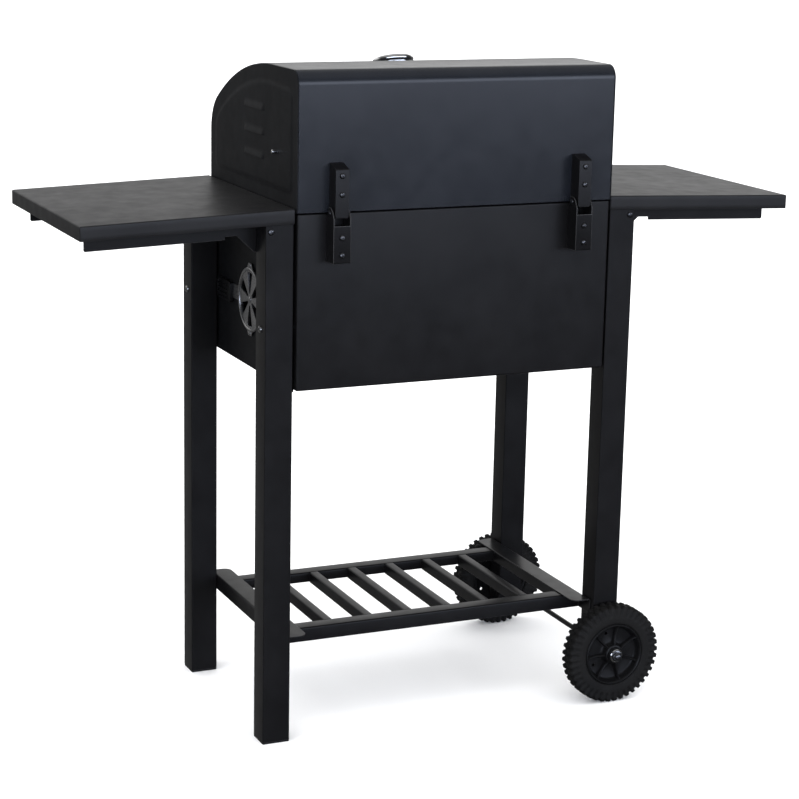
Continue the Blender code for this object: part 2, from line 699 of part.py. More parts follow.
def make_rack_pins():
    profile = [(0.0, 263.5), (2.4, 263.5), (3.2, 262.7), (3.2, 257.9), (2.4, 257.9), (2.4, 242.0)]
    profile += [(3.8, 242.0), (3.8, 240.0), (0.0, 240.0)]
    for side_name, side in SIDES:
        turned = [(radius, side * height) for radius, height in profile]
        lathe_piece(f"rack_pin_{side_name}", turned, RACK_PIN, "X", 14, CHROME)


# ---------------------------------------------------------------- dampers

def damper_openings(low, high, inner, outer, half):
    """Sector openings round the damper's centre, one of them straight up."""
    bm = bmesh.new()
    for k in range(VANES):
        middle = 90.0 + 360.0 / VANES * k
        centre = (DAMPER_Y, DAMPER_Z)
        outline = arc(centre, outer, middle - half, middle + half, 4)
        outline += arc(centre, inner, middle + half * 0.8, middle - half * 0.8, 2)
        add_prism(bm, outline, low, high, "X")
    return bm


def make_dampers():
    centre = (DAMPER_Y, DAMPER_Z)
    for side_name, side in SIDES:
        outline = arc(centre, 50.0, 102.0, 258.0, 16)
        outline += [(-7.0, DAMPER_Z - 56.0), (7.0, DAMPER_Z - 56.0)]
        outline += arc(centre, 50.0, -78.0, 78.0, 16)
        outline += [(7.0, DAMPER_Z + 56.0), (-7.0, DAMPER_Z + 56.0)]
        x = span(side, 256.2, 257.4)
        plate = prism_piece(f"damper_plate_{side_name}", outline, *x, "X", CHROME)
        cut(plate, damper_openings(*span(side, 250.0, 262.0), 9.5, 42.0, 14.0))
        pivot = [(0.0, 252.0), (3.0, 252.0), (3.0, 257.0), (5.0, 257.0), (5.0, 258.6), (0.0, 258.6)]
        rivet = [(0.0, 252.0), (2.0, 252.0), (2.0, 257.0), (3.4, 257.0), (3.4, 258.4), (0.0, 258.4)]
        spots = [(pivot, DAMPER_Z), (rivet, DAMPER_Z - 52.5), (rivet, DAMPER_Z + 52.5)]
        for profile, z in spots:
            bm = bmesh.new()
            turned = [(radius, side * height) for radius, height in profile]
            add_lathe(bm, turned, (DAMPER_Y, z), "X", 14)
            join(plate, bm)
        make_shutter(side_name, side)


def make_shutter(side_name, side):
    """The turning disc behind the plate, with a lever towards the cook and a ribbed grip."""
    centre = (DAMPER_Y, DAMPER_Z)
    outline = arc(centre, 47.0, -166.0, 166.0, 24)
    outline += [(-92.0, DAMPER_Z + 11.0), (-92.0, DAMPER_Z - 11.0)]
    x = span(side, 254.8, 255.8)
    disc = prism_piece(f"damper_disc_{side_name}", outline, *x, "X", CHROME)
    cut(disc, damper_openings(*span(side, 250.0, 262.0), 9.5, 42.0, 14.0))
    bm = bmesh.new()
    add_cylinder(bm, centre, 3.5, *span(side, 250.0, 262.0), "X", 16)
    cut(disc, bm)
    grip = box_piece(f"damper_grip_{side_name}", span(side, 254.8, 261.0), (-139.0, -80.0),
                     (DAMPER_Z - 19.0, DAMPER_Z + 13.0), PLASTIC)
    bm = bmesh.new()
    add_box(bm, span(side, 254.5, 256.1), (-92.4, -75.0), (DAMPER_Z - 11.4, DAMPER_Z + 11.4))
    cut(grip, bm)
    bm = bmesh.new()
    for k in range(4):
        z = DAMPER_Z - 15.4 + k * 6.8
        add_box(bm, span(side, 259.0, 270.0), (-136.5, -92.0), (z, z + 4.4))
    cut(grip, bm)


make_legs()
make_firebox_bolts()
make_shelf()
make_shelf_brackets()
make_axle()
make_wheels()
make_axle_nuts()
make_tables()
make_table_rails()
make_firebox()
make_grate_ledges()
make_cooking_grates()
make_charcoal_grate()
make_ash_drawer()
make_lid_shell()
make_lid_ends()
make_lid_handle()
make_thermometer()
make_hinges()
make_warming_rack()
make_rack_arm()
make_rack_pins()
make_dampers()
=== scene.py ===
"""Looks of the barrel charcoal grill: detailed pieces, finishes, floor, light and camera.

Shapes are written in millimetres in the part's frame and scaled to metres when a piece is made.
+X is to the cook's right, +Y is the hinge side, +Z is up, and the floor is at 0.
"""

import math
from functools import partial

import bmesh
import bpy
import numpy as np
from mathutils import Matrix, Vector


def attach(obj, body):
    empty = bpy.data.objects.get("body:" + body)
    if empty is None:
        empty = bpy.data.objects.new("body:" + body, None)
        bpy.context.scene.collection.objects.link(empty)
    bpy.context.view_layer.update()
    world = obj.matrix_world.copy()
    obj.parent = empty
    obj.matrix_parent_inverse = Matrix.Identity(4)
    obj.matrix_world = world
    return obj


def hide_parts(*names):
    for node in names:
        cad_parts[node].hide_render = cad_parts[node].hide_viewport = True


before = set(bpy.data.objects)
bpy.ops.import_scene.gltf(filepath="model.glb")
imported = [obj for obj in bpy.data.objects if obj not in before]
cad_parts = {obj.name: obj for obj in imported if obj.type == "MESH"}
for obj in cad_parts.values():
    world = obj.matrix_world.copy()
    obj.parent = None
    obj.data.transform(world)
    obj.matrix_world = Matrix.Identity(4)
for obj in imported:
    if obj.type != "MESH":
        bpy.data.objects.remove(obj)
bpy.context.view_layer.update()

MM = 0.001
SIDES = (("left", -1), ("right", 1))
ENDS = (("front", -1), ("rear", 1))
SHEET = 1.2


# ---------------------------------------------------------------- outlines

def arc(centre, radius, start, end, steps):
    turns = [math.radians(start + (end - start) * k / steps) for k in range(steps + 1)]
    return [(centre[0] + radius * math.cos(t), centre[1] + radius * math.sin(t)) for t in turns]


def rectangle(x, y):
    return [(x[0], y[0]), (x[1], y[0]), (x[1], y[1]), (x[0], y[1])]


def rounded(points, radius, steps=4, closed=True):
    """The points with each corner turned into an arc, in 2-D or 3-D; radius is one number or one each."""
    spots = [Vector(point) for point in points]
    count = len(spots)
    made = []
    for i, here in enumerate(spots):
        r = radius[i] if hasattr(radius, "__len__") else radius
        if r <= 0 or (not closed and i in (0, count - 1)):
            made.append(tuple(here))
            continue
        before, after = spots[i - 1] - here, spots[(i + 1) % count] - here
        u, v = before.normalized(), after.normalized()
        half = math.acos(max(-1.0, min(1.0, u.dot(v)))) / 2
        if half > 1.56:
            made.append(tuple(here))
            continue
        reach = min(r / math.tan(half), 0.49 * before.length, 0.49 * after.length)
        r = reach * math.tan(half)
        centre = here + (u + v).normalized() * (r / math.sin(half))
        start, end = here + u * reach - centre, here + v * reach - centre
        for k in range(steps + 1):
            share = k / steps
            total = math.pi - 2 * half
            a = math.sin((1 - share) * total) / math.sin(total)
            b = math.sin(share * total) / math.sin(total)
            made.append(tuple(centre + start * a + end * b))
    return made


def bent_sheet(path, thick, radius, steps=5):
    """The closed outline of a strip bent along a 2-D path, the path being its middle line."""
    line = np.array(rounded(path, radius, steps, closed=False))
    ways = np.diff(line, axis=0)
    ways /= np.linalg.norm(ways, axis=1)[:, None]
    normals = np.stack([-ways[:, 1], ways[:, 0]], axis=1)
    ends = np.vstack([normals[:1], normals[:-1] + normals[1:], normals[-1:]])
    ends /= np.linalg.norm(ends, axis=1)[:, None]
    first, second = line + ends * thick / 2, line - ends * thick / 2
    return [tuple(p) for p in first] + [tuple(p) for p in second[::-1]]


def bend_stations(radius, step):
    """(inset, depth) pairs round a bend from a flat face into a wall."""
    return [(radius * (1 - math.sin(t)), radius * (1 - math.cos(t))) for t in np.radians(range(0, 91, step))]


def inset_outline(x, y, inset):
    """The outline of a folded tray at one inset."""
    smaller = rectangle((x[0] + inset, x[1] - inset), (y[0] + inset, y[1] - inset))
    return rounded(smaller, max(2.6 - inset, 0.6), 5)


def span(side, near, far):
    return tuple(sorted((side * near, side * far)))


# ---------------------------------------------------------------- shapes

def on_axis(axis, a, b, h):
    return {"X": (h, a, b), "Y": (a, h, b), "Z": (a, b, h)}[axis]


def loft(bm, rings, closed=False):
    """Rings of points with equal counts, joined one after another, then capped or joined end to end."""
    rows = [[bm.verts.new(point) for point in ring] for ring in rings]
    faces = []
    count = len(rows[0])
    for low, high in zip(rows, rows[1:] + (rows[:1] if closed else [])):
        for k in range(count):
            n = (k + 1) % count
            faces.append(bm.faces.new((low[k], low[n], high[n], high[k])))
    if not closed:
        faces += [bm.faces.new(rows[0]), bm.faces.new(rows[-1])]
    bmesh.ops.recalc_face_normals(bm, faces=faces)


def prism(outline, low, high, axis, bm=None):
    bm = bm or bmesh.new()
    loft(bm, [[on_axis(axis, a, b, h) for a, b in outline] for h in (low, high)])
    return bm


def box(x, y, z):
    return prism(rectangle(x, y), *z, "Z")


def lathe(profile, centre, axis, steps, bm=None):
    """(radius, height) points turned about an axis; a radius of 0 closes an end in a point."""
    bm = bm or bmesh.new()
    rings = []
    for radius, height in profile:
        if radius == 0.0:
            rings.append([bm.verts.new(on_axis(axis, centre[0], centre[1], height))])
            continue
        turns = [2 * math.pi * k / steps for k in range(steps)]
        rings.append([bm.verts.new(on_axis(axis, centre[0] + radius * math.cos(t),
                                           centre[1] + radius * math.sin(t), height)) for t in turns])
    faces = []
    for low, high in zip(rings, rings[1:]):
        for k in range(steps):
            n = (k + 1) % steps
            corners = [low[k % len(low)], low[n % len(low)], high[n % len(high)], high[k % len(high)]]
            faces.append(bm.faces.new(list(dict.fromkeys(corners))))
    bmesh.ops.recalc_face_normals(bm, faces=faces)
    return bm


def cylinder(radius, low, high, centre, axis, steps, bm=None):
    return lathe([(0.0, low), (radius, low), (radius, high), (0.0, high)], centre, axis, steps, bm)


def towards(side, profile):
    """A (radius, height) profile with its heights measured on one side of the middle."""
    return [(radius, side * height) for radius, height in profile]


def ring_lathe(profile, centre, axis, steps, bm=None):
    """A closed (radius, height) outline clear of the axis, turned about it."""
    bm = bm or bmesh.new()
    turns = [2 * math.pi * k / steps for k in range(steps)]
    rings = [[on_axis(axis, centre[0] + r * math.cos(t), centre[1] + r * math.sin(t), h)
              for r, h in profile] for t in turns]
    loft(bm, rings, closed=True)
    return bm


def rod(path, radius, sides, bm=None, closed=False):
    """A round bar along a 3-D path."""
    bm = bm or bmesh.new()
    line = [Vector(point) for point in path]
    count = len(line)
    ways = []
    for i in range(count):
        before = line[i] - line[i - 1] if closed or i > 0 else line[1] - line[0]
        after = line[(i + 1) % count] - line[i] if closed or i < count - 1 else before
        ways.append((before.normalized() + after.normalized()).normalized())
    across = ways[0].orthogonal().normalized()
    rings = []
    for i, way in enumerate(ways):
        across = (across - way * across.dot(way)).normalized()
        other = way.cross(across)
        turns = [2 * math.pi * k / sides for k in range(sides)]
        rings.append([line[i] + (across * math.cos(t) + other * math.sin(t)) * radius for t in turns])
    loft(bm, rings, closed)
    return bm


def add_copy(bm, pattern, matrix):
    """The pattern's shape, moved by the matrix, put into bm."""
    mesh = bpy.data.meshes.new("copy")
    pattern.to_mesh(mesh)
    mesh.transform(matrix)
    bm.from_mesh(mesh)
    bpy.data.meshes.remove(mesh)


def add_object(name, data):
    made = bpy.data.objects.new(name, data)
    bpy.context.scene.collection.objects.link(made)
    return made


def mesh_object(name, bm):
    """The bmesh as an object in the scene. The bmesh is used up."""
    mesh = bpy.data.meshes.new(name)
    bm.to_mesh(mesh)
    bm.free()
    return add_object(name, mesh)


def boolean(bm, other, operation="DIFFERENCE"):
    """The result of one solid on another, as a new bmesh. Both inputs are used up."""
    first, second = mesh_object("helper", bm), mesh_object("helper", other)
    step = first.modifiers.new("step", "BOOLEAN")
    step.operation, step.solver, step.object = operation, "EXACT", second
    graph = bpy.context.evaluated_depsgraph_get()
    mesh = bpy.data.meshes.new_from_object(first.evaluated_get(graph))
    made = bmesh.new()
    made.from_mesh(mesh)
    bpy.data.meshes.remove(mesh)
    for obj in (first, second):
        data = obj.data
        bpy.data.objects.remove(obj)
        bpy.data.meshes.remove(data)
    bmesh.ops.remove_doubles(made, verts=made.verts, dist=1e-3)
    bmesh.ops.dissolve_limit(made, angle_limit=math.radians(0.5), verts=made.verts, edges=made.edges)
    return made


def cut(bm, *others):
    for other in others:
        bm = boolean(bm, other)
    return bm


def piece(name, bm, body, slot, materials, nodes, bevel, segments=2, sharp=32.0, tilt=None):
    """One visible piece. Edges sharper than `sharp` degrees get a small round, or stay sharp without one."""
    bmesh.ops.scale(bm, vec=(MM, MM, MM), verts=bm.verts)
    if tilt is not None:
        bmesh.ops.transform(bm, matrix=tilt, verts=bm.verts)
    for face in bm.faces:
        face.smooth = True
    limit = math.radians(sharp)
    if not bevel:
        for edge in bm.edges:
            edge.smooth = len(edge.link_faces) != 2 or edge.calc_face_angle(0.0) < limit
    obj = mesh_object(name, bm)
    for material in materials:
        obj.data.materials.append(material)
    if bevel:
        step = obj.modifiers.new("edge_round", "BEVEL")
        step.width, step.segments = bevel * MM, segments
        step.limit_method, step.angle_limit = "ANGLE", limit
        step.harden_normals = True
        # The rounds take the second material; for the coated pieces that is a lighter coat that paints a
        # highlight along the edges.
        if len(materials) > 1:
            step.material = 1
    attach(obj, body)
    if nodes:
        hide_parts(*nodes)
    return obj


def plain(name, bm, slot, material, nodes=(), body="grill", **more):
    """A piece of one material whose edges are left as they are."""
    piece(name, bm, body, slot, (material,), nodes, 0.0, **more)


# ---------------------------------------------------------------- finishes

def add_node(tree, kind, inputs, output=0, **settings):
    """A shader node with its inputs set or linked, and one of its outputs returned."""
    node = tree.nodes.new(kind)
    for key, value in settings.items():
        setattr(node, key, value)
    for key, value in inputs.items():
        if hasattr(value, "is_output"):
            tree.links.new(value, node.inputs[key])
        else:
            node.inputs[key].default_value = value
    return node.outputs[output]


def mixed(tree, share, first, second):
    """A colour between two colours, each a constant or an output."""
    return add_node(tree, "ShaderNodeMix", {0: share, 6: first, 7: second}, 2, data_type="RGBA")


class Finish:
    """A Principled material whose textures are set in object space, in metres."""

    def __init__(self, name):
        self.material = bpy.data.materials.new(name)
        self.material.use_nodes = True
        self.tree = self.material.node_tree
        self.shader = self.tree.nodes["Principled BSDF"]
        self.at = add_node(self.tree, "ShaderNodeTexCoord", {}, "Object")
        self.normal = None

    def noise(self, scale, detail, stretch=None):
        at = self.at
        if stretch:
            at = add_node(self.tree, "ShaderNodeMapping", {"Vector": at, "Scale": stretch})
        inputs = {"Vector": at, "Scale": scale, "Detail": detail}
        return add_node(self.tree, "ShaderNodeTexNoise", inputs, "Fac")

    def spread(self, value, low, high, to_low=0.0, to_high=1.0):
        inputs = {"Value": value, "From Min": low, "From Max": high, "To Min": to_low, "To Max": to_high}
        return add_node(self.tree, "ShaderNodeMapRange", inputs)

    def mix(self, share, *colors):
        first, second = ((*color, 1.0) if isinstance(color, tuple) else color for color in colors)
        return mixed(self.tree, share, first, second)

    def color(self, value):
        self.tree.links.new(value, self.shader.inputs["Base Color"])

    def rough(self, value):
        self.tree.links.new(value, self.shader.inputs["Roughness"])

    def bump(self, height, strength, depth_mm):
        inputs = {"Height": height, "Strength": strength, "Distance": depth_mm * MM}
        if self.normal is not None:
            inputs["Normal"] = self.normal
        self.normal = add_node(self.tree, "ShaderNodeBump", inputs)
        self.tree.links.new(self.normal, self.shader.inputs["Normal"])

    def constant(self, **values):
        for key, value in values.items():
            self.shader.inputs[key.replace("_", " ")].default_value = value
        return self.material


def powder_coat(name, base, light, rough, specular):
    """Satin powder coat: orange peel, fine flecks, slow drifts of tone and gloss."""
    f = Finish(name)
    tone = f.mix(f.spread(f.noise(11.0, 4.0), 0.35, 0.65), base, light)
    fleck = tuple(2.2 * c + 0.002 for c in light)
    f.color(f.mix(f.spread(f.noise(2600.0, 1.0), 0.66, 0.74, 0.0, 0.6), tone, fleck))
    f.rough(f.spread(f.noise(38.0, 3.0), 0.3, 0.7, *rough))
    f.bump(f.noise(900.0, 2.0), 0.22, 0.10)
    f.bump(f.noise(2600.0, 1.0), 0.15, 0.04)
    return f.constant(Specular_IOR_Level=specular)


def bright_metal(name, base, dark, rough, grain):
    """Plated or bare metal: fine scratches in the gloss and a faint cloud in the tone."""
    f = Finish(name)
    f.color(f.mix(f.spread(f.noise(60.0, 4.0), 0.35, 0.7), base, dark))
    f.rough(f.spread(f.noise(300.0, 4.0, (1.0, 1.0, 7.0)), 0.3, 0.7, *rough))
    f.bump(f.noise(grain, 3.0), 0.10, 0.04)
    return f.constant(Metallic=1.0)


def moulded(name, base, light, rough, grain, depth, specular):
    """Moulded plastic or rubber: fine grain and a little dust in the tone."""
    f = Finish(name)
    tone = f.mix(f.spread(f.noise(25.0, 5.0), 0.35, 0.7), base, light)
    dust = tuple(1.8 * c + 0.006 for c in light)
    f.color(f.mix(f.spread(f.noise(700.0, 2.0), 0.62, 0.75, 0.0, 0.5), tone, dust))
    f.rough(f.spread(f.noise(90.0, 3.0), 0.3, 0.7, *rough))
    f.bump(f.noise(grain, 3.0), 0.35, depth)
    return f.constant(Specular_IOR_Level=specular)


COAT = powder_coat("powder_coat_black", (0.0028, 0.0027, 0.0030), (0.0042, 0.0041, 0.0045),
                   (0.30, 0.38), 0.22)
# Coat for the rounded edges: its base colour, about ten times lighter than the black coat, and its strong
# gloss paint a highlight along every edge.
COAT_EDGE_PAINTED_HIGHLIGHT = powder_coat("powder_coat_edge_painted_highlight", (0.026, 0.0258, 0.0265), (0.038, 0.0375, 0.0385),
                        (0.28, 0.36), 0.7)
END_COAT = powder_coat("end_coat", (0.0036, 0.0038, 0.0045), (0.0050, 0.0053, 0.0062), (0.40, 0.48), 0.12)
LID_COAT = powder_coat("lid_coat", (0.0050, 0.0060, 0.0085), (0.0068, 0.0080, 0.0110), (0.22, 0.27), 0.40)
# Coat for the rounded edges of the lid and its ends: a base colour about twice as light as the lid coat
# paints a highlight along the edges.
LID_EDGE_PAINTED_HIGHLIGHT = powder_coat("lid_coat_edge_painted_highlight", (0.010, 0.0115, 0.015), (0.015, 0.017, 0.021), (0.24, 0.32), 0.5)
TABLE_COAT = powder_coat("table_coat", (0.0050, 0.0049, 0.0054), (0.0068, 0.0067, 0.0072), (0.38, 0.46), 0.3)
CHROME = bright_metal("chrome_plate", (0.80, 0.80, 0.80), (0.66, 0.67, 0.68), (0.05, 0.12), 1500.0)
ZINC = bright_metal("zinc_plate", (0.50, 0.50, 0.48), (0.34, 0.34, 0.34), (0.26, 0.42), 2200.0)
DARK_ZINC = bright_metal("dark_zinc_plate", (0.17, 0.17, 0.175), (0.10, 0.10, 0.105), (0.26, 0.40), 2200.0)
DAMPER_METAL = bright_metal("damper_plate_metal", (0.50, 0.50, 0.50), (0.37, 0.37, 0.38), (0.24, 0.36),
                            1800.0)
ENAMEL = moulded("grate_enamel", (0.010, 0.010, 0.011), (0.017, 0.016, 0.016), (0.25, 0.42),
                 500.0, 0.10, 0.5)
PLASTIC = moulded("moulded_plastic", (0.0028, 0.0028, 0.0031), (0.0044, 0.0044, 0.0047), (0.34, 0.46),
                  1600.0, 0.05, 0.2)
RUBBER = moulded("tyre_rubber_finish", (0.0045, 0.0045, 0.0047), (0.0072, 0.0070, 0.0069), (0.55, 0.70),
                 1100.0, 0.10, 0.1)
# Each pair is a finish and a lighter coat that paints a highlight on the rounded edges.
COATED = (COAT, COAT_EDGE_PAINTED_HIGHLIGHT)
END_COATED = (END_COAT, LID_EDGE_PAINTED_HIGHLIGHT)
LID_COATED = (LID_COAT, LID_EDGE_PAINTED_HIGHLIGHT)


def coated(node, part, bm, bevel, body="grill", materials=COATED, **more):
    """A black coated piece that stands for one CAD node."""
    piece(f"{node}_{part}", bm, body, "black_coat", materials, (node,), bevel, **more)


def flat_print(name, base, light):
    """Printed dial ink under a clear glass coat."""
    f = Finish(name)
    f.color(f.mix(f.spread(f.noise(400.0, 3.0), 0.3, 0.7), base, light))
    f.rough(f.spread(f.noise(80.0, 2.0), 0.3, 0.7, 0.30, 0.45))
    return f.constant(Coat_Weight=1.0, Coat_Roughness=0.04)


DIAL_WHITE = flat_print("dial_white", (0.72, 0.72, 0.70), (0.80, 0.80, 0.78))
DIAL_BLACK = flat_print("dial_black", (0.010, 0.010, 0.010), (0.018, 0.018, 0.018))
DIAL_RED = flat_print("dial_red", (0.42, 0.03, 0.02), (0.50, 0.05, 0.03))
DIAL_GREEN = flat_print("dial_green", (0.05, 0.26, 0.07), (0.07, 0.32, 0.09))


# ---------------------------------------------------------------- fasteners

def cross_head(radius, height):
    """A pan head with a cross recess, base at z 0, as a pattern to copy."""
    profile = [(0.0, -0.8), (radius, -0.8), (radius, 0.25 * height), (0.93 * radius, 0.55 * height),
               (0.75 * radius, 0.83 * height), (0.45 * radius, 0.97 * height), (0.0, height)]
    head = lathe(profile, (0.0, 0.0), "Z", 28)
    reach, wide = 0.62 * radius, 0.13 * radius
    deep = 0.25 * height
    z = (deep, height + 1.0)
    return cut(head, box((-reach, reach), (-wide, wide), z), box((-wide, wide), (-reach, reach), z))


def hex_head(radius, height):
    """A hexagon head with a chamfered top, base at z 0."""
    hexagon = arc((0.0, 0.0), radius, 0.0, 300.0, 5)
    head = prism(hexagon, 0.0, height, "Z")
    cone = lathe([(0.0, -1.0), (radius * 1.05, -1.0), (radius * 1.05, height * 0.72),
                  (radius * 0.86, height), (0.0, height)], (0.0, 0.0), "Z", 28)
    return boolean(head, cone, "INTERSECT")


def facing(spot, axis, way, turn=0.0):
    """The matrix that stands a pattern on a spot, its +Z along way times the axis."""
    outwards = Vector(on_axis(axis, 0.0, 0.0, float(way)))
    quarter = outwards.to_track_quat("Z", "Y").to_matrix().to_4x4()
    return Matrix.Translation(spot) @ quarter @ Matrix.Rotation(math.radians(turn), 4, "Z")


LEG_SCREW = cross_head(4.6, 2.4)
HINGE_SCREW = cross_head(4.2, 2.7)
BOLT_HEAD = cross_head(5.4, 2.8)
NUT = hex_head(5.6, 3.2)


# ---------------------------------------------------------------- frame

LEG_X, LEG_Y, LEG_TOP = (258.5, 301.5), (145.5, 185.5), 806.0
FOOT_LEFT, CAP_HEIGHT = 42.0, 2.6
LEG_SCREW_X, LEG_SCREW_Z = 293.4, 780.4
BOLT_Y, BOLT_Z, NUT_X = 165.5, 636.0, 252.9
SLEEVE_R, SLEEVE_X = 6.0, (254.7, 258.2)


def make_legs():
    for side_name, side in SIDES:
        for end_name, end in ENDS:
            name = f"leg_{end_name}_{side_name}"
            foot = 0.0 if side > 0 else FOOT_LEFT
            x, y = span(side, *LEG_X), span(end, *LEG_Y)
            outline = rounded(rectangle(x, y), 1.7, 6)
            tube = prism(outline, foot + CAP_HEIGHT, LEG_TOP, "Z")
            coated(name, "tube", tube, 0.5)
            cap = prism(rounded(rectangle((x[0] + 0.1, x[1] - 0.1), (y[0] + 0.1, y[1] - 0.1)), 2.0, 6),
                        foot, foot + CAP_HEIGHT - 0.1, "Z")
            piece(f"{name}_cap", cap, "grill", "plastic", (PLASTIC,), (), 0.8)
            screw = bmesh.new()
            spot = (side * LEG_SCREW_X, end * (LEG_Y[1] + 0.1), LEG_SCREW_Z)
            add_copy(screw, LEG_SCREW, facing(spot, "Y", end, 20.0))
            plain(f"{name}_screw", screw, "zinc_steel", DARK_ZINC)
            bolt = bmesh.new()
            spot = (side * (LEG_X[1] + 0.2), end * BOLT_Y, BOLT_Z)
            add_copy(bolt, BOLT_HEAD, facing(spot, "X", side, 35.0))
            spot = (side * NUT_X, end * BOLT_Y, BOLT_Z)
            add_copy(bolt, NUT, facing(spot, "X", -side, 10.0))
            ends = [side * x for x in SLEEVE_X]
            cylinder(SLEEVE_R, *ends, (end * BOLT_Y, BOLT_Z), "X", 24, bolt)
            node = f"firebox_bolt_{end_name}_{side_name}"
            plain(f"{node}_detail", bolt, "zinc_steel", ZINC, (node,))


SHELF_TOP = 160.9
RAIL_END, RAIL_Y = 256.2, (113.0, 139.0)
SLAT_X, SLAT_HALF = [(k - 3.5) * 67.5 for k in range(8)], 7.5
BRACKET_X, BRACKET_Y, BRACKET_GAUGE = (226.0, 258.2), 176.0, 1.5


def make_shelf():
    """Two rails and eight slats, folded from sheet, open below, joined by welds."""
    shelf = bmesh.new()
    for end in (-1, 1):
        inner, outer = end * (RAIL_Y[0] + SHEET / 2), end * (RAIL_Y[1] - SHEET / 2)
        path = [(outer, SHELF_TOP - 22.0), (outer, SHELF_TOP - 0.6),
                (inner, SHELF_TOP - 0.6), (inner, SHELF_TOP - 16.5)]
        prism(bent_sheet(path, SHEET, 2.2), -RAIL_END, RAIL_END, "X", shelf)
    piece("shelf_rails", shelf, "grill", "black_coat", COATED, ("shelf_frame",), 0.3)
    slats = bmesh.new()
    for x in SLAT_X:
        low, high = x - SLAT_HALF + SHEET / 2, x + SLAT_HALF - SHEET / 2
        path = [(low, SHELF_TOP - 17.4), (low, SHELF_TOP - 0.75), (high, SHELF_TOP - 0.75),
                (high, SHELF_TOP - 17.4)]
        prism(bent_sheet(path, SHEET, 1.8), -RAIL_Y[0], RAIL_Y[0], "Y", slats)
    piece("shelf_slats", slats, "grill", "black_coat", COATED, (), 0.3)
    welds = bmesh.new()
    for x in SLAT_X:
        for end in (-1, 1):
            for corner in (-1, 1):
                path = [(x + corner * (SLAT_HALF + 0.1), end * (RAIL_Y[0] - 0.3), SHELF_TOP - 3.5 - 1.4 * k)
                        for k in range(8)]
                rod(path, 1.1, 8, welds)
    plain("shelf_welds", welds, "black_coat", COAT, sharp=60.0)
    for side_name, side in SIDES:
        top = SHELF_TOP + 1.05
        inner, outer = BRACKET_X[0], BRACKET_X[1] - BRACKET_GAUGE / 2
        path = [(side * inner, top), (side * outer, top), (side * outer, top - 23.0)]
        angle = prism(bent_sheet(path, BRACKET_GAUGE, 2.4), -BRACKET_Y, BRACKET_Y, "Y")
        inner, outer = inner + 0.5, outer + 4.55
        lobe = rounded([(side * inner, -BRACKET_Y), (side * outer, -BRACKET_Y), (side * outer, BRACKET_Y),
                        (side * inner, BRACKET_Y)], [13.0, 0.0, 0.0, 13.0], 7)
        angle = boolean(angle, prism(lobe, 100.0, 200.0, "Z"), "INTERSECT")
        coated(f"shelf_bracket_{side_name}", "angle", angle, 0.35)


# ---------------------------------------------------------------- side tables

TABLE_IN, TABLE_OUT, TABLE_Y, TABLE_LIP = 257.1, 575.0, 188.0, 21.6
TABLE_TOP = {-1: 811.4, 1: 812.6}
FALL = {-1: 0.0355, 1: 0.0346}
RAIL_GAUGE, RAIL_DROP, TABLE_RAIL_Y = 1.3, 44.0, (125.0, 145.2)
GUSSET_X, GUSSET_DROP, STEP_X = (304.5, 331.0), (39.2, 65.0), 349.0


def table_height(side, x):
    return TABLE_TOP[side] - FALL[side] * (abs(x) - TABLE_IN)


def make_table(side_name, side):
    """A folded tray: bent edges, welded corners, and a short return along the bottom of the lip."""
    x, y = span(side, TABLE_IN, TABLE_OUT), (-TABLE_Y, TABLE_Y)
    stations = bend_stations(2.2, 18)
    stations += [(0.0, 8.0), (0.0, 15.0), (0.0, TABLE_LIP - 1.0), (0.25, TABLE_LIP - 0.3), (0.8, TABLE_LIP),
                 (5.0, TABLE_LIP), (5.0, TABLE_LIP - 1.0), (1.1, TABLE_LIP - 1.1), (1.1, 3.0), (3.0, 1.1)]
    rings = [[(a, b, table_height(side, a) - drop) for a, b in inset_outline(x, y, inset)]
             for inset, drop in stations]
    tray = bmesh.new()
    loft(tray, rings)
    coated(f"side_table_{side_name}", "tray", tray, 0.0, materials=(TABLE_COAT, COAT_EDGE_PAINTED_HIGHLIGHT), sharp=24.0)


def make_table_rails(side_name, side):
    """An angle under each long edge, its web with a gusset at the leg and a deeper outer part."""
    near, far, top = TABLE_IN + 1.8, TABLE_OUT - 17.0, 1.4
    shallow, deep = GUSSET_DROP

    def at(x, drop):
        return (side * x, table_height(side, x) - drop)

    for end_name, end in ENDS:
        name = f"table_rail_{end_name}_{side_name}"
        web = [at(near, top), at(near, deep), at(GUSSET_X[0], deep), at(GUSSET_X[1], shallow),
               at(STEP_X, shallow), at(STEP_X, RAIL_DROP), at(far, RAIL_DROP), at(far, top)]
        web = rounded(web, [0.0, 3.0, 3.0, 4.0, 1.0, 1.5, 3.0, 0.0], 6)
        inner, outer = TABLE_RAIL_Y
        rail = prism(web, *span(end, outer - RAIL_GAUGE, outer), "Y")
        under = top + RAIL_GAUGE
        flange = [at(near, top), at(far, top), at(far, under), at(near, under)]
        rail = boolean(rail, prism(flange, *span(end, inner, outer - 0.7), "Y"), "UNION")
        coated(name, "angle", rail, 0.35)
        screws = bmesh.new()
        for x in (330.0, 545.0):
            spot = (side * x, end * 134.0, table_height(side, x) - 2.8)
            add_copy(screws, LEG_SCREW, facing(spot, "Z", -1, 15.0))
        plain(f"{name}_screws", screws, "zinc_steel", DARK_ZINC)


# ---------------------------------------------------------------- firebox

BOX_X, BOX_BACK, BOX_FRONT = 254.4, 188.6, -184.0
BOX_TOP, BOX_BOTTOM, END_BOTTOM = 804.6, 544.3, 540.6
DAMPER_Z = 646.5
HINGE_X, HINGE_Y, HINGE_Z = 196.5, 201.0, 807.0
LINK = (-51.0, -27.0)
RACK_PIN = (105.0, 885.0)
ARM_PIVOT = (HINGE_Y + LINK[0], HINGE_Z + LINK[1])
BACK_LIP = 12.8
SLOT_HALF, SLOT_Z = 151.0, (546.2, 576.0)
LEDGE_Z = (735.0, 752.9)


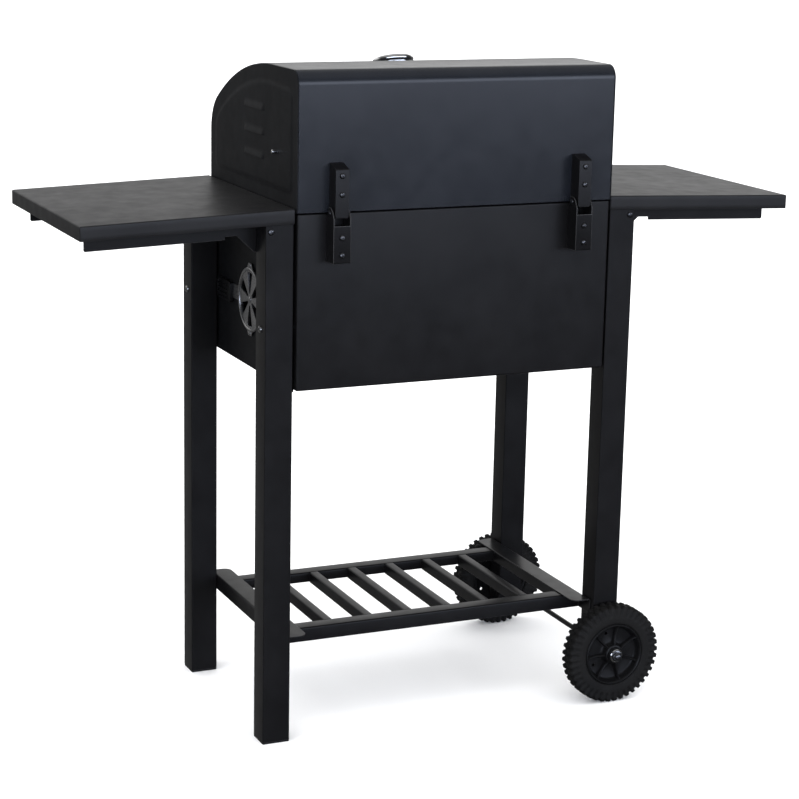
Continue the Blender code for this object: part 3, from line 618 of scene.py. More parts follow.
def make_firebox():
    """The back is a shallow tray, the rest flat sheet, with a lap strip on each front corner."""
    tall = (BOX_BOTTOM, BOX_TOP)
    stations = bend_stations(2.4, 15) + [(0.0, 12.5), (SHEET, 12.5), (SHEET, 3.2), (3.2, SHEET)]
    rings = [[(x, BOX_BACK - depth, z) for x, z in inset_outline((-BOX_X, BOX_X), tall, inset)]
             for inset, depth in stations]
    back = bmesh.new()
    loft(back, rings)
    coated("firebox_back", "panel", back, 0.0, sharp=24.0)
    front = box((-BOX_X, BOX_X), (BOX_FRONT, BOX_FRONT + SHEET), tall)
    front = cut(front, box((-SLOT_HALF, SLOT_HALF), (-190.0, -175.0), SLOT_Z))
    coated("firebox_front", "panel", front, 0.5)
    deep = (BOX_FRONT + 1.5, BOX_BACK - BACK_LIP)
    floor = box((-BOX_X + 1.5, BOX_X - 1.5), deep, (BOX_BOTTOM + 0.3, BOX_BOTTOM + 0.3 + SHEET))
    coated("firebox_floor", "panel", floor, 0.3)
    for side_name, side in SIDES:
        end = box(span(side, BOX_X - SHEET, BOX_X), deep, (END_BOTTOM, BOX_TOP))
        end = cut(end, damper_openings(*span(side, 245.0, 265.0), 10.0, 41.5, 13.5),
                  cylinder(3.0, side * 245.0, side * 265.0, ARM_PIVOT, "X", 20))
        coated(f"firebox_end_{side_name}", "panel", end, 0.3, materials=(END_COAT, COAT))
        path = [(side * (BOX_X + 0.9), -162.0), (side * (BOX_X + 0.9), BOX_FRONT + 0.6)]
        lap = prism(bent_sheet(path, SHEET, 1.5), *tall, "Z")
        piece(f"firebox_lap_{side_name}", lap, "grill", "black_coat", COATED, (), 0.4)
    for end_name, end in ENDS:
        wall = BOX_BACK - SHEET - 2.3 if end > 0 else -BOX_FRONT - SHEET - 0.3
        low, high = LEDGE_Z
        path = [(end * (wall - 0.7), low), (end * (wall - 0.7), high), (end * (wall - 15.0), high)]
        ledge = prism(bent_sheet(path, 1.4, 2.0), -245.0, 245.0, "X")
        coated(f"grate_ledge_{end_name}", "angle", ledge, 0.35)


GRATE_X, GRATE_Y, GRATE_Z, GRATE_BARS = (3.8, 247.8), (-178.5, 182.0), 756.2, 19


def make_cooking_grates():
    """Round bars welded in a round-bar frame, on three cross bars."""
    for side_name, side in SIDES:
        x, y, z = span(side, *GRATE_X), GRATE_Y, GRATE_Z
        corners = rounded([(a, b, z) for a, b in rectangle(x, y)], 9.0, 6)
        grate = rod(corners, 2.3, 14, closed=True)
        for k in range(1, GRATE_BARS + 1):
            at = x[0] + (x[1] - x[0]) * k / (GRATE_BARS + 1)
            rod([(at, y[0], z + 0.4), (at, y[1], z + 0.4)], 1.7, 10, grate)
        for at in (-90.0, 0.0, 90.0):
            rod([(x[0], at, z - 0.7), (x[1], at, z - 0.7)], 1.6, 10, grate)
        name = f"cooking_grate_{side_name}"
        plain(f"{name}_bars", grate, "enamel", ENAMEL, (name,), sharp=50.0)


def make_ash_drawer():
    """A tray with a face that folds forwards at the top as a pull."""
    tray = box((-150.0, 150.0), (-184.6, 140.0), (546.9, 572.0))
    tray = cut(tray, box((-149.0, 149.0), (-183.6, 139.0), (547.9, 580.0)))
    coated("ash_drawer", "tray", tray, 0.4, body="ash_drawer")
    path = [(-184.9, 547.4), (-184.9, 599.4), (-203.4, 599.4), (-203.4, 592.0)]
    face = prism(bent_sheet(path, SHEET, 2.4), -165.0, 165.0, "X")
    piece("ash_drawer_face", face, "ash_drawer", "black_coat", COATED, (), 0.4)
    screws = bmesh.new()
    for x in (-130.0, 130.0):
        add_copy(screws, LEG_SCREW, facing((x, -185.4, 560.0), "Y", -1, 25.0))
    plain("ash_drawer_screws", screws, "zinc_steel", ZINC, body="ash_drawer")


# ---------------------------------------------------------------- air dampers

DAMPER, PLATE_R, DISC_R = (0.0, DAMPER_Z), 50.0, 46.8
EAR_HALF, EAR_REACH, RIVET_AT = 6.5, 56.0, 52.3
LEVER_HALF, LEVER_END = 11.0, -92.0
GRIP_X, GRIP_Y, GRIP_BELOW, GRIP_ABOVE = (255.0, 261.0), (-139.0, -80.0), 19.0, 13.0
OPENINGS = (9.5, 42.0, 14.0)


def damper_openings(low, high, inner, outer, half):
    """Six sector cutters round the damper's centre, one of them straight up; half is an angle."""
    bm = bmesh.new()
    for k in range(6):
        middle = 90.0 + 60.0 * k
        outline = arc(DAMPER, outer, middle - half, middle + half, 6)
        outline += arc(DAMPER, inner, middle + half * 0.8, middle - half * 0.8, 3)
        prism(rounded(outline, 1.0, 2), low, high, "X", bm)
    return bm


def dome(radius, base, height):
    """A (radius, height) profile of a rivet head standing on base."""
    return [(0.0, base - 1.0), (radius, base - 1.0), (radius, base + 0.2 * height),
            (0.86 * radius, base + 0.6 * height), (0.5 * radius, base + 0.93 * height), (0.0, base + height)]


def make_dampers():
    """A fixed plate with a rolled rim, and behind it a turning disc with a lever and a ribbed grip."""
    for side_name, side in SIDES:
        outline = arc(DAMPER, PLATE_R, 103.0, 257.0, 40)
        outline += [(-EAR_HALF, DAMPER_Z - EAR_REACH), (EAR_HALF, DAMPER_Z - EAR_REACH)]
        outline += arc(DAMPER, PLATE_R, -77.0, 77.0, 40)
        outline += [(EAR_HALF, DAMPER_Z + EAR_REACH), (-EAR_HALF, DAMPER_Z + EAR_REACH)]
        plate = prism(outline, *span(side, 256.2, 257.4), "X")
        plate = cut(plate, damper_openings(*span(side, 250.0, 262.0), *OPENINGS))
        rivet = dome(3.3, 257.2, 1.5)
        for profile, z in ((dome(5.0, 257.2, 2.0), 0.0), (rivet, -RIVET_AT), (rivet, RIVET_AT)):
            lathe(towards(side, profile), (0.0, DAMPER_Z + z), "X", 24, plate)
        bead = [(47.0 + 2.8 * math.cos(t), 257.2 + 1.9 * math.sin(t))
                for t in np.radians(range(180, -1, -30))]
        bead += [(49.8, 256.5), (44.2, 256.5)]
        ring_lathe(towards(side, bead), DAMPER, "X", 72, plate)
        name = f"damper_plate_{side_name}"
        piece(f"{name}_ring", plate, "grill", "chrome", (DAMPER_METAL,), (name,), 0.25, sharp=40.0)
        outline = arc(DAMPER, DISC_R, -166.0, 166.0, 60)
        outline += [(LEVER_END, DAMPER_Z + LEVER_HALF), (LEVER_END, DAMPER_Z - LEVER_HALF)]
        disc = prism(outline, *span(side, 254.8, 255.8), "X")
        disc = cut(disc, damper_openings(*span(side, 250.0, 262.0), *OPENINGS))
        name = f"damper_disc_{side_name}"
        body = f"damper_{side_name}"
        piece(f"{name}_sheet", disc, body, "chrome", (DAMPER_METAL,), (name,), 0.2)
        grip = prism(rounded(rectangle(GRIP_Y, (DAMPER_Z - GRIP_BELOW, DAMPER_Z + GRIP_ABOVE)), 3.5, 5),
                     *span(side, *GRIP_X), "X")
        slots = bmesh.new()
        for k in range(4):
            z = DAMPER_Z - 15.4 + 6.8 * k
            prism(rounded(rectangle((-136.5, -92.0), (z, z + 4.4)), 1.2, 3),
                  *span(side, 259.0, 270.0), "X", slots)
        grip = cut(grip, slots)
        name = f"damper_grip_{side_name}"
        piece(f"{name}_moulding", grip, body, "plastic", (PLASTIC,), (name,), 0.7, 3)


# ---------------------------------------------------------------- lid

LID_BOTTOM, LID_BACK, LID_TOP = 806.5, 190.4, 1009.5
LONG_ARC_Y, LONG_ARC_R, FRONT_BEND_R, REAR_BEND_R = 80.0, 430.0, 64.0, 21.0
BEND = 33.0
LID_END_X = 256.0
LOUVRES, LOUVRE_Y = (939.5, 903.0, 868.5), (-28.0, 58.0)
FIELD_LIFT, LOUVRE_LIFT = 1.1, 2.2
HANDLE_X, HANDLE_Y, HANDLE_Z = 170.0, -224.5, 838.0
GAUGE_X, GAUGE_Y = 4.0, -49.0


def lid_profile(inset):
    """The lid's outline in Y and Z, front bottom to rear bottom."""
    long_z = LID_TOP - LONG_ARC_R
    reach = LONG_ARC_R - FRONT_BEND_R
    front_y = LONG_ARC_Y - reach * math.sin(math.radians(BEND))
    front_z = long_z + reach * math.cos(math.radians(BEND))
    rear = (LID_BACK - REAR_BEND_R, LID_TOP - REAR_BEND_R)
    points = [(front_y - FRONT_BEND_R + inset, LID_BOTTOM)]
    points += arc((front_y, front_z), FRONT_BEND_R - inset, 180.0, 90.0 + BEND, 18)
    points += arc((LONG_ARC_Y, long_z), LONG_ARC_R - inset, 90.0 + BEND, 90.0, 22)[1:]
    points += arc(rear, REAR_BEND_R - inset, 90.0, 0.0, 16)
    return points + [(LID_BACK - inset, LID_BOTTOM)]


def make_lid_shell():
    """One rolled sheet, its end edges turned in a little over the end panels."""
    stations = [(254.6, 1.3), (254.45, 0.8), (254.0, 0.35), (253.2, 0.08), (252.0, 0.0)]
    rings = []
    for x, inset in [(-x, i) for x, i in stations] + [(x, i) for x, i in reversed(stations)]:
        outline = lid_profile(inset) + lid_profile(inset + SHEET)[::-1]
        rings.append([(x, y, z) for y, z in outline])
    shell = bmesh.new()
    loft(shell, rings)
    piece("lid_shell_sheet", shell, "lid", "lid_coat", LID_COATED, ("lid_shell",), 0.3, sharp=50.0)


def lid_field():
    """The outline of the raised field in a lid end."""
    points = lid_profile(26.0)[1:-1]
    front, back = points[0][0], 168.0
    points = [(y, z) for y, z in points if y < 146.0] + [(back, 979.0)]
    outline = [(front, 834.0)] + points + [(back, 834.0)]
    radii = [9.0] + [0.0] * (len(points) - 1) + [14.0, 9.0]
    return rounded(outline, radii, 6)


def inside_distance(outline, y, z):
    """Distance from the outline in mm, positive inside, for arrays of points."""
    ring = np.array(outline)
    best = np.full(y.shape, 1e9)
    inside = np.zeros(y.shape, bool)
    for (y0, z0), (y1, z1) in zip(ring, np.roll(ring, -1, axis=0)):
        dy, dz = y1 - y0, z1 - z0
        t = np.clip(((y - y0) * dy + (z - z0) * dz) / (dy * dy + dz * dz + 1e-12), 0, 1)
        best = np.minimum(best, np.hypot(y - y0 - t * dy, z - z0 - t * dz))
        crosses = (z0 > z) != (z1 > z)
        with np.errstate(divide="ignore", invalid="ignore"):
            inside ^= crosses & (y < dy * (z - z0) / (dz if dz else 1e-12) + y0)
    return np.where(inside, best, -best)


def ease(value, low, high):
    """A smooth step from 0 at low to 1 at high."""
    t = np.clip((value - low) / (high - low), 0, 1)
    return t * t * (3 - 2 * t)


def make_lid_end(side_name, side):
    """Pressed sheet: a raised field with soft shoulders, and three hooded louvres open below."""
    first, last = LOUVRE_Y
    rows = np.concatenate([np.arange(800.0, 1014.0, 2.0)] + [[z - 0.06, z, z + 1.0] for z in LOUVRES])
    columns = np.concatenate([np.arange(-188.0, 196.0, 2.0), [first + 0.5, last - 0.5]])
    rows, columns = np.unique(rows.round(3)), np.unique(columns.round(3))
    y, z = np.meshgrid(columns, rows)
    lift = FIELD_LIFT * ease(inside_distance(lid_field(), y, z), -5.0, 5.0)
    for bottom in LOUVRES:
        rise = np.where(z >= bottom, 1 - ease(z, bottom - 2.0, bottom + 13.0), 0.0)
        ends = ease(y, first - 1.0, first + 8.0) * (1 - ease(y, last - 8.0, last + 1.0))
        lift = lift + LOUVRE_LIFT * rise * ends
    bm = bmesh.new()
    grid = [[bm.verts.new((side * (LID_END_X + lift[i, j]), y[i, j], z[i, j])) for j in range(len(columns))]
            for i in range(len(rows))]
    for i in range(len(rows) - 1):
        lip = any(abs(rows[i] - (bottom - 0.06)) < 0.01 for bottom in LOUVRES)
        for j in range(len(columns) - 1):
            if lip and first + 2.0 < columns[j] < last - 3.0:
                continue
            corners = [grid[i][j], grid[i][j + 1], grid[i + 1][j + 1], grid[i + 1][j]]
            bm.faces.new(corners if side > 0 else corners[::-1])
    outline = lid_profile(0.5)
    for (y0, z0), (y1, z1) in zip(outline, outline[1:] + outline[:1]):
        away = Vector((0.0, -(z1 - z0), y1 - y0))
        bmesh.ops.bisect_plane(bm, geom=bm.verts[:] + bm.edges[:] + bm.faces[:], dist=1e-4,
                               plane_co=(0.0, y0, z0), plane_no=away, clear_outer=True)
    name = f"lid_end_{side_name}"
    panel = piece(f"{name}_panel", bm, "lid", "lid_coat", END_COATED, (name,), 0.0, sharp=60.0)
    thick = panel.modifiers.new("sheet", "SOLIDIFY")
    thick.thickness, thick.offset = 1.1 * MM, -1.0
    thick.use_even_offset = True
    edge = panel.modifiers.new("edge_round", "BEVEL")
    edge.width, edge.segments, edge.limit_method = 0.35 * MM, 2, "ANGLE"
    # The rounds take the second material, a lighter coat that paints a highlight along the panel's edges.
    edge.angle_limit, edge.harden_normals, edge.material = math.radians(60.0), True, 1


def make_lid_handle():
    """A bent tube on two collars."""
    path = [(-HANDLE_X, -183.8, HANDLE_Z), (-HANDLE_X, HANDLE_Y, HANDLE_Z), (HANDLE_X, HANDLE_Y, HANDLE_Z),
            (HANDLE_X, -183.8, HANDLE_Z)]
    bar = rod(rounded(path, 19.0, 10, closed=False), 8.5, 32)
    collar = [(0.0, -184.0), (13.5, -184.0), (13.5, -186.0), (12.2, -188.4), (9.4, -189.2), (0.0, -189.2)]
    for x in (-HANDLE_X, HANDLE_X):
        lathe(collar, (x, HANDLE_Z), "Y", 40, bar)
    plain("lid_handle_tube", bar, "chrome", CHROME, ("lid_handle",), body="lid", sharp=50.0)


def make_thermometer():
    """A rolled bezel on a foot, with a plain dial under glass and its probe through the sheet."""
    lean = math.asin((LONG_ARC_Y - GAUGE_Y) / LONG_ARC_R)
    spot = Vector((GAUGE_X, GAUGE_Y, LID_TOP - LONG_ARC_R * (1 - math.cos(lean))))
    tilt = Matrix.Translation(spot * MM) @ Matrix.Rotation(lean, 4, "X")
    foot = [(2.2, -62.0), (2.2, -6.0), (9.0, -6.0), (9.0, -3.2), (5.0, -3.2), (5.0, 1.2), (26.6, 1.2),
            (28.2, 1.6), (29.2, 2.6), (29.4, 4.0), (28.1, 5.4)]
    roll = [(27.6 + 4.6 * math.cos(t), 9.9 + 4.8 * math.sin(t))
            for t in np.radians(np.arange(-72.0, 181.0, 14.0))]
    case = lathe([(0.0, -62.0)] + foot + roll + [(22.9, 8.0), (0.0, 8.0)], (0.0, 0.0), "Z", 96)
    plain("thermometer_case", case, "chrome", CHROME, ("thermometer",), body="lid", sharp=50.0, tilt=tilt)
    face = cylinder(23.3, 8.2, 9.6, (0.0, 0.0), "Z", 64)
    plain("thermometer_dial", face, "chrome", DIAL_WHITE, body="lid", tilt=tilt)
    marks, pointer = bmesh.new(), bmesh.new()
    for k in range(31):
        long, wide = (4.0, 0.32) if k % 5 == 0 else (2.2, 0.16)
        tick = box((22.0 - long, 22.0), (-wide, wide), (9.6, 9.75))
        add_copy(marks, tick, Matrix.Rotation(math.radians(225.0 - 9.0 * k), 4, "Z"))
    add_copy(pointer, prism([(-5.0, -0.8), (16.5, -0.2), (16.5, 0.2), (-5.0, 0.8)], 9.9, 10.2, "Z"),
             Matrix.Rotation(math.radians(222.0), 4, "Z"))
    lathe([(0.0, 9.6), (1.6, 9.6), (1.6, 10.4), (0.0, 10.6)], (0.0, 0.0), "Z", 24, pointer)
    plain("thermometer_scale", marks, "chrome", DIAL_BLACK, body="lid", tilt=tilt)
    plain("thermometer_pointer", pointer, "chrome", DIAL_BLACK, body="lid", tilt=tilt)
    for name, ink, first, last in (("green", DIAL_GREEN, 108.0, 18.0), ("red", DIAL_RED, 14.0, -45.0)):
        band = arc((0.0, 0.0), 16.2, first, last, 16) + arc((0.0, 0.0), 14.0, last, first, 16)
        piece(f"thermometer_zone_{name}", prism(band, 9.55, 9.68, "Z"), "lid", "chrome", (ink,), (), 0.0,
              tilt=tilt)


# ---------------------------------------------------------------- hinges

HINGE = (HINGE_Y, HINGE_Z)
LID_LEAF, BOX_LEAF = 10.3, 13.5


def make_hinges():
    """A channel on the lid, a wider one with ears on the firebox, a riveted pin, and four screws."""
    for side_name, side in SIDES:
        x = side * HINGE_X
        across = [(190.8, 810.0), (190.8, 878.5), (215.2, 871.0), (215.2, 800.2), (198.0, 800.2),
                  (194.0, 803.0), (192.6, 807.0)]
        across = rounded(across, [1.0, 1.0, 2.6, 1.0, 1.5, 1.5, 1.5], 4)
        inside = rounded([(180.0, 780.0), (213.7, 780.0), (213.7, 869.9), (180.0, 880.3)],
                         [0.0, 0.0, 1.6, 0.0], 3)
        leaf = cut(prism(across, x - LID_LEAF, x + LID_LEAF, "X"), corner_cutter(x, LID_LEAF, 800.2, 4.5),
                   prism(inside, x - LID_LEAF + 1.5, x + LID_LEAF - 1.5, "X"),
                   cylinder(2.7, x - 20.0, x + 20.0, HINGE, "X", 24))
        coated(f"hinge_lid_leaf_{side_name}", "channel", leaf, 0.7, body="lid", segments=3)
        across = [(188.9, 739.0), (192.0, 735.0), (217.2, 735.0), (217.2, 800.0), (211.0, 811.0),
                  (205.0, 815.0), (197.0, 815.0), (193.4, 811.0), (192.6, 803.0), (188.9, 799.0)]
        across = rounded(across, [1.0, 1.0, 2.0, 4.0, 4.0, 4.0, 4.0, 3.0, 2.0, 1.0], 4)
        inside = (x - BOX_LEAF + 1.5, x + BOX_LEAF - 1.5)
        leaf = cut(prism(across, x - BOX_LEAF, x + BOX_LEAF, "X"),
                   box(inside, (180.0, 215.7), (736.5, 830.0)), box(inside, (210.0, 225.0), (789.5, 830.0)),
                   cylinder(2.7, x - 20.0, x + 20.0, HINGE, "X", 24))
        coated(f"hinge_box_leaf_{side_name}", "channel", leaf, 0.6, segments=3)
        bar = cylinder(2.4, x - 13.0, x + 13.0, HINGE, "X", 20)
        for way in (-1, 1):
            lathe([(r, x + way * h) for r, h in dome(4.2, 13.7, 2.2)], HINGE, "X", 28, bar)
        name = f"hinge_pin_{side_name}"
        plain(f"{name}_rivet", bar, "zinc_steel", DARK_ZINC, (name,))
        for part, body, wall, face, heights in (("lid", "lid", LID_BACK, 215.3, (834.5, 861.5)),
                                                ("box", "grill", BOX_BACK, 217.3, (747.0, 772.5))):
            inner = wall - SHEET - 0.3
            outline = rectangle((x - 8.0, x + 8.0), (heights[0] - 8.0, heights[1] + 8.0))
            strap = prism(rounded(outline, 4.0, 5), inner - 1.6, inner, "Y")
            for k, height in enumerate(heights):
                cylinder(2.4, inner - 1.0, face + 0.5, (x, height), "Y", 16, strap)
                add_copy(strap, HINGE_SCREW, facing((x, face, height), "Y", 1, 24.0 + 31.0 * k))
                add_copy(strap, NUT, facing((x, inner - 1.5, height), "Y", -1, 12.0))
            name = f"hinge_bolts_{part}_{side_name}"
            plain(f"{name}_set", strap, "zinc_steel", DARK_ZINC, (name,), body=body)


def corner_cutter(x, half, bottom, radius):
    """What is left outside two rounded lower corners, as a cutter for the outer part of a channel."""
    cutter = bmesh.new()
    curve = arc((half - radius, radius), radius, -90.0, 0.0, 8)
    curve += [(half + 1.0, radius), (half + 1.0, -1.0), (half - radius, -1.0)]
    for way in (-1, 1):
        prism([(x + way * a, bottom + b) for a, b in curve], 207.0, 230.0, "Y", cutter)
    return cutter


# ---------------------------------------------------------------- warming rack

RACK_X, RACK_Y, RACK_Z, RACK_WIRES = 241.3, (-92.6, 40.0), 858.0, 33
ARM_TOP = (RACK_PIN[0] + LINK[0], RACK_PIN[1] + LINK[1])


def make_warming_rack():
    """A wire shelf between two end plates, hung from the lid's pins and steadied by a bent rod."""
    rack = bmesh.new()
    x, z = RACK_X, RACK_Z
    frame_line = rounded([(a, b, z) for a, b in rectangle((-x, x), RACK_Y)], 8.0, 6)
    rod(frame_line, 2.2, 14, rack, closed=True)
    for k in range(1, RACK_WIRES + 1):
        at = -x + 2 * x * k / (RACK_WIRES + 1)
        rod([(at, y, z + 0.3) for y in RACK_Y], 1.3, 10, rack)
    rod([(-x, -26.0, z - 1.0), (x, -26.0, z - 1.0)], 1.6, 10, rack)
    for side in (-1, 1):
        outline = [(-95.0, 855.0), (58.0, 852.0), (61.0, 858.0), (111.0, 880.0), (112.0, 888.0),
                   (106.0, 892.0), (99.0, 890.0), (44.0, 866.0), (-95.0, 862.0)]
        outline = rounded(outline, [2.0, 4.0, 5.0, 5.0, 3.5, 3.5, 4.0, 6.0, 2.0], 4)
        holes = bmesh.new()
        for spot in (RACK_PIN, ARM_TOP):
            cylinder(3.0, side * 235.0, side * 250.0, spot, "X", 24, holes)
        plate = boolean(prism(outline, *span(side, 242.5, 244.5), "X"), holes)
        add_copy(rack, plate, Matrix.Identity(4))
    plain("warming_rack_wires", rack, "chrome", CHROME, ("warming_rack",), body="warming_rack", sharp=50.0)
    half = [(257.2, *ARM_PIVOT), (248.6, *ARM_PIVOT), (248.6, *ARM_TOP)]
    path = half + [(-x, y, z) for x, y, z in reversed(half)]
    arm = rod(rounded(path, [0, 4.0, 3.4, 3.4, 4.0, 0], 6, closed=False), 2.2, 16)
    plain("rack_arm_rod", arm, "chrome", CHROME, ("rack_arm",), body="rack_arm", sharp=50.0)
    profile = [(0.0, 263.5), (1.6, 263.5), (2.6, 263.2), (3.1, 262.5), (3.2, 261.6), (3.2, 258.3),
               (2.4, 257.9), (2.4, 242.0), (3.8, 242.0), (3.8, 240.4), (3.2, 240.0), (0.0, 240.0)]
    for side_name, side in SIDES:
        pin = lathe(towards(side, profile), RACK_PIN, "X", 28)
        name = f"rack_pin_{side_name}"
        plain(f"{name}_rivet", pin, "chrome", CHROME, (name,), body="lid", sharp=45.0)


# ---------------------------------------------------------------- wheels

WHEEL_X, WHEEL_R = -282.0, 80.0
WHEEL = (WHEEL_X, WHEEL_R)
TYRE_Y = (187.5, 219.0)
LUGS, LUG_STEPS, RIBS, RIB_TURN = 42, 9, 7, 150.0


def make_tyre(end_name, end):
    """A solid tyre: two staggered rows of rounded tread blocks running down its shoulders."""
    inner, outer = TYRE_Y
    middle, half = (inner + outer) / 2, (outer - inner) / 2
    shoulder = ((50.2, 3.2), (51.3, 1.6), (53.0, 0.9), (55.5, 0.5), (58.0, 0.2), (61.0, 0.1), (64.0, 0.2),
                (66.5, 0.4), (69.0, 0.5), (71.5, 0.6), (74.0, 0.7), (76.2, 0.9), (77.8, 1.4), (78.9, 2.3),
                (79.6, 3.6), (79.9, 5.2), (80.0, 7.6), (80.0, 11.0), (80.0, half))
    section = [(radius, outer - drop) for radius, drop in shoulder]
    section += [(r, 2 * middle - y) for r, y in section[-2::-1]]
    radius = np.array([r for r, _ in section])
    offset = np.array([y for _, y in section])
    inwards = (offset - middle) / half
    around = np.arange(LUGS * LUG_STEPS)
    turns = 2 * np.pi * around / len(around)
    phase = (around / LUG_STEPS)[:, None]
    row_phase = np.where(offset >= middle, 0.0, 0.5)[None, :]
    cell = np.abs(((phase + row_phase) % 1.0) - 0.5) * 2
    block = ease(cell, 0.30, 0.58)
    grooved = ease(radius, 66.0, 70.0)[None, :]
    channel = np.exp(-((offset - middle) / 1.3) ** 2)[None, :]
    cut_in = (1 - block) * grooved * 3.4 + channel * 2.2
    cut_side = (1 - block) * ease(radius, 63.5, 68.0)[None, :] * 2.2
    r = radius[None, :] - cut_in * ease(radius, 68.0, 76.0)[None, :]
    y = offset[None, :] - cut_side * inwards[None, :]
    rings = [[(WHEEL_X + r[i, k] * math.cos(turn), end * y[i, k], WHEEL_R + r[i, k] * math.sin(turn))
              for k in range(len(section))] for i, turn in enumerate(turns)]
    bm = bmesh.new()
    loft(bm, rings, closed=True)
    piece(f"tyre_{end_name}_tread", bm, f"wheel_{end_name}", "tyre", (RUBBER,), (f"tyre_{end_name}",), 0.0,
          sharp=80.0)


def make_hub(end_name, end):
    """A dished wheel centre: rolled rim, seven ribs with crowned tops, a boss, and two small holes."""
    inner, outer = TYRE_Y
    profile = [(4.5, 187.0), (11.4, 187.0), (12.0, 187.6), (12.0, 203.0), (45.5, 203.0), (45.5, inner + 3.6),
               (46.2, inner + 3.0), (49.9, inner + 3.0), (49.9, outer - 2.6), (49.2, outer - 1.7),
               (48.2, outer - 1.2), (47.2, outer - 1.7), (46.1, outer - 3.2), (45.2, outer - 6.0),
               (44.0, outer - 10.5), (42.4, 206.4), (41.0, 206.0), (20.0, 206.0), (18.4, 206.6),
               (16.2, 209.0), (15.6, 215.5), (14.8, 217.0), (13.0, 217.6), (12.4, 218.0), (12.2, 220.8),
               (11.6, 221.5), (4.5, 221.5)]
    hub = ring_lathe(towards(end, profile), WHEEL, "Y", 72)
    holes = bmesh.new()
    for k in (1, 3):
        turn = math.radians(RIB_TURN - 360.0 / RIBS * (k + 0.5))
        spot = (WHEEL_X + 35.0 * math.cos(turn), WHEEL_R + 35.0 * math.sin(turn))
        cylinder(2.7, end * 195.0, end * 210.0, spot, "Y", 16, holes)
    hub = cut(hub, holes)
    name = f"wheel_hub_{end_name}"
    plain(f"{name}_moulding", hub, "plastic", PLASTIC, (name,), body=f"wheel_{end_name}", sharp=38.0)
    ribs = bmesh.new()
    for k in range(RIBS):
        turn = math.radians(RIB_TURN - 360.0 / RIBS * k)
        across = [(-2.3, 204.0), (-1.9, 210.5), (-1.2, 212.3), (0.0, 212.9), (1.2, 212.3), (1.9, 210.5),
                  (2.3, 204.0)]
        rings = []
        for reach, rise in ((13.0, 3.2), (16.5, 2.2), (21.0, 0.4), (28.0, -0.6), (36.0, -0.4), (42.0, 0.6),
                            (46.0, 2.6)):
            ring = []
            for b, h in across:
                a = WHEEL_X + reach * math.cos(turn) - b * math.sin(turn)
                c = WHEEL_R + reach * math.sin(turn) + b * math.cos(turn)
                ring.append((a, end * (h + rise * (h - 204.0) / 9.0), c))
            rings.append(ring)
        loft(ribs, rings)
    plain(f"{name}_ribs", ribs, "plastic", PLASTIC, body=f"wheel_{end_name}", sharp=50.0)


def make_axle():
    """A plain rod with a flanged nut on each end, the flange bright and the hexagon darker."""
    bar = lathe([(0.0, -229.0), (3.4, -229.0), (4.0, -228.3), (4.0, 228.3), (3.4, 229.0), (0.0, 229.0)],
                WHEEL, "Y", 32)
    coated("axle", "rod", bar, 0.0)
    for end_name, end in ENDS:
        flange = [(4.3, 222.0), (10.2, 222.0), (10.8, 222.6), (10.8, 224.6), (10.0, 225.3), (8.8, 225.4),
                  (8.4, 224.6), (4.3, 224.4)]
        nut = ring_lathe(towards(end, flange), WHEEL, "Y", 48)
        six = prism(arc(WHEEL, 8.3, 15.0, 315.0, 5), *span(end, 224.0, 229.8), "Y")
        chamfer = [(0.0, 223.0), (8.6, 223.0), (8.6, 228.3), (7.0, 229.9), (0.0, 229.9)]
        cap = boolean(six, lathe(towards(end, chamfer), WHEEL, "Y", 36), "INTERSECT")
        crown = [(0.0, 233.0), (2.4, 232.8), (4.4, 232.0), (5.8, 230.6), (6.2, 229.2), (6.2, 228.0),
                 (0.0, 228.0)]
        lathe(towards(end, crown), WHEEL, "Y", 36, cap)
        name = f"axle_nut_{end_name}"
        plain(f"{name}_flange", nut, "chrome", CHROME, (name,))
        plain(f"{name}_cap", cap, "chrome", DARK_ZINC)


# ---------------------------------------------------------------- build

make_legs()
make_shelf()
for table_name, table_side in SIDES:
    make_table(table_name, table_side)
    make_table_rails(table_name, table_side)
    make_lid_end(table_name, table_side)
make_firebox()
make_cooking_grates()
make_ash_drawer()
make_dampers()
make_lid_shell()
make_lid_handle()
make_thermometer()
make_hinges()
make_warming_rack()
for wheel_name, wheel_end in ENDS:
    make_tyre(wheel_name, wheel_end)
    make_hub(wheel_name, wheel_end)
make_axle()
charcoal_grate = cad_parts["charcoal_grate"].data
charcoal_grate.materials.clear()
charcoal_grate.materials.append(ENAMEL)


# ---------------------------------------------------------------- floor, light, camera

def make_stage():
    """A pale matt floor, wide enough to meet the surround."""
    mesh = bpy.data.meshes.new("floor")
    wide = (-60.0, 60.0)
    mesh.from_pydata([(x, y, 0.0) for x, y in rectangle(wide, wide)], [], [(0, 1, 2, 3)])
    floor = add_object("floor", mesh)
    f = Finish("floor_paper")
    f.color(f.mix(f.spread(f.noise(0.8, 2.0), 0.3, 0.7), (0.93, 0.93, 0.93), (0.95, 0.95, 0.95)))
    f.rough(f.spread(f.noise(6.0, 2.0), 0.3, 0.7, 0.85, 0.95))
    mesh.materials.append(f.constant(Specular_IOR_Level=0.0))
    floor.visible_glossy = False


def direction(azimuth, elevation):
    """The way from the grill out to these angles, in degrees."""
    a, e = math.radians(azimuth), math.radians(elevation)
    return Vector((math.sin(a) * math.cos(e), -math.cos(a) * math.cos(e), math.sin(e)))


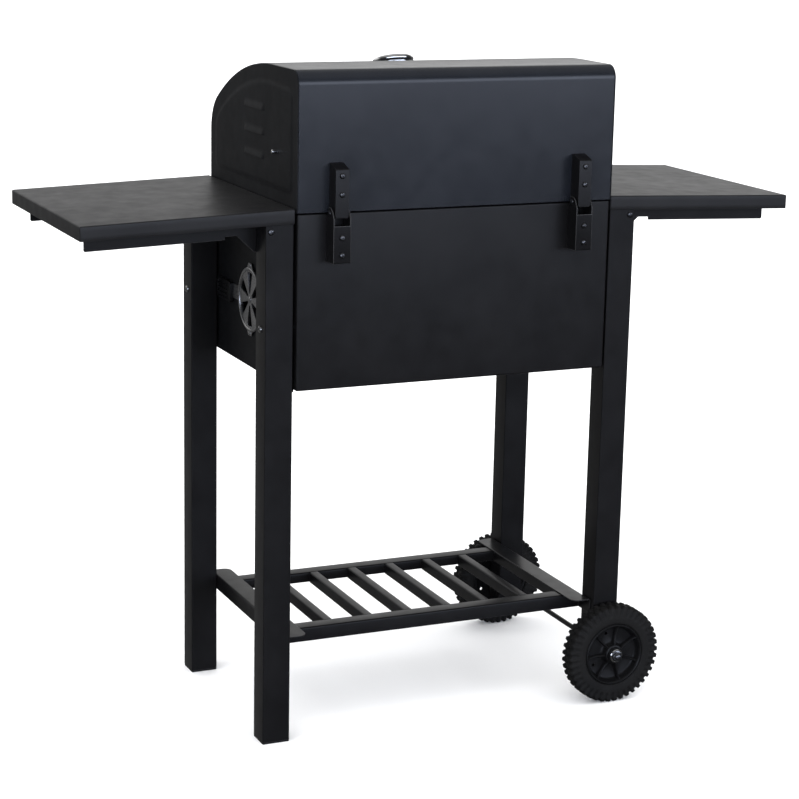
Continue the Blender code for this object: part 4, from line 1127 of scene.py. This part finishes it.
def make_light():
    """A pale surround for the camera; for everything else a dim studio with a backdrop and a soft box."""
    world = bpy.data.worlds.new("studio")
    world.use_nodes = True
    tree = world.node_tree
    made = partial(add_node, tree)

    def step(value, low, high):
        return made("ShaderNodeMapRange", {"Value": value, "From Min": low, "From Max": high},
                    interpolation_type="SMOOTHSTEP")

    def times(first, second):
        return made("ShaderNodeMath", {0: first, 1: second}, operation="MULTIPLY")

    def plus(first, second):
        return made("ShaderNodeMath", {0: first, 1: second}, operation="ADD")

    way = made("ShaderNodeTexCoord", {}, output="Generated")
    x, y, z = (made("ShaderNodeSeparateXYZ", {0: way}, output=axis) for axis in "XYZ")
    far = step(y, -0.15, -0.75)
    band = times(step(z, 0.0, 0.18), step(z, 0.62, 0.40))
    leftward = plus(times(step(x, -0.24, -0.52), 0.35), 0.65)
    backdrop = plus(times(times(far, band), leftward), times(far, 0.14))
    box_band = times(step(z, -0.06, 0.01), step(z, 0.36, 0.26))
    soft_box = times(times(step(y, 0.45, 0.65), box_band), 3.8)
    dim = plus(plus(backdrop, times(step(z, 0.45, 0.85), 0.35)), 0.05)
    white = made("ShaderNodeCombineColor", {0: dim, 1: dim, 2: dim})
    tint = dict(enumerate(times(soft_box, share) for share in (0.80, 0.88, 1.08)))
    blue = made("ShaderNodeCombineColor", tint)
    both = made("ShaderNodeVectorMath", {0: white, 1: blue}, operation="ADD")
    seen = made("ShaderNodeLightPath", {}, output="Is Camera Ray")
    shown = mixed(tree, seen, both, (1.0, 1.0, 1.0, 1.0))
    tree.links.new(shown, tree.nodes["Background"].inputs["Color"])
    bpy.context.scene.world = world
    for name, power, angle, azimuth, height in (("key_sun", 4.2, 150.0, 200.0, 72.0),
                                                ("fill_sun", 0.8, 60.0, 120.0, 40.0)):
        data = bpy.data.lights.new(name, "SUN")
        data.energy, data.angle = power, math.radians(angle)
        lamp = add_object(name, data)
        lamp.visible_glossy = False
        lamp.rotation_mode = "QUATERNION"
        lamp.rotation_quaternion = direction(azimuth, height).to_track_quat("Z", "Y")


def make_camera():
    """The photograph's viewpoint: behind the grill, to the cook's right, a little above the lid."""
    roll = math.radians(1.1949)
    data = bpy.data.cameras.new("camera")
    data.sensor_width, data.lens = 36.0, 2218.543 * 36.0 / 799.0
    data.clip_start, data.clip_end = 0.05, 200.0
    camera = add_object("camera", data)
    back = direction(155.8495, 13.4671)
    right = Vector((0.0, 0.0, 1.0)).cross(back).normalized()
    up = back.cross(right)
    across = right * math.cos(roll) + up * math.sin(roll)
    rise = up * math.cos(roll) - right * math.sin(roll)
    turn = Matrix((across, rise, back)).transposed()
    camera.matrix_world = Matrix.Translation((1.403816, 3.121681, 1.289625)) @ turn.to_4x4()
    bpy.context.scene.camera = camera


make_stage()
make_light()
make_camera()
bpy.context.scene.view_settings.view_transform = "Standard"
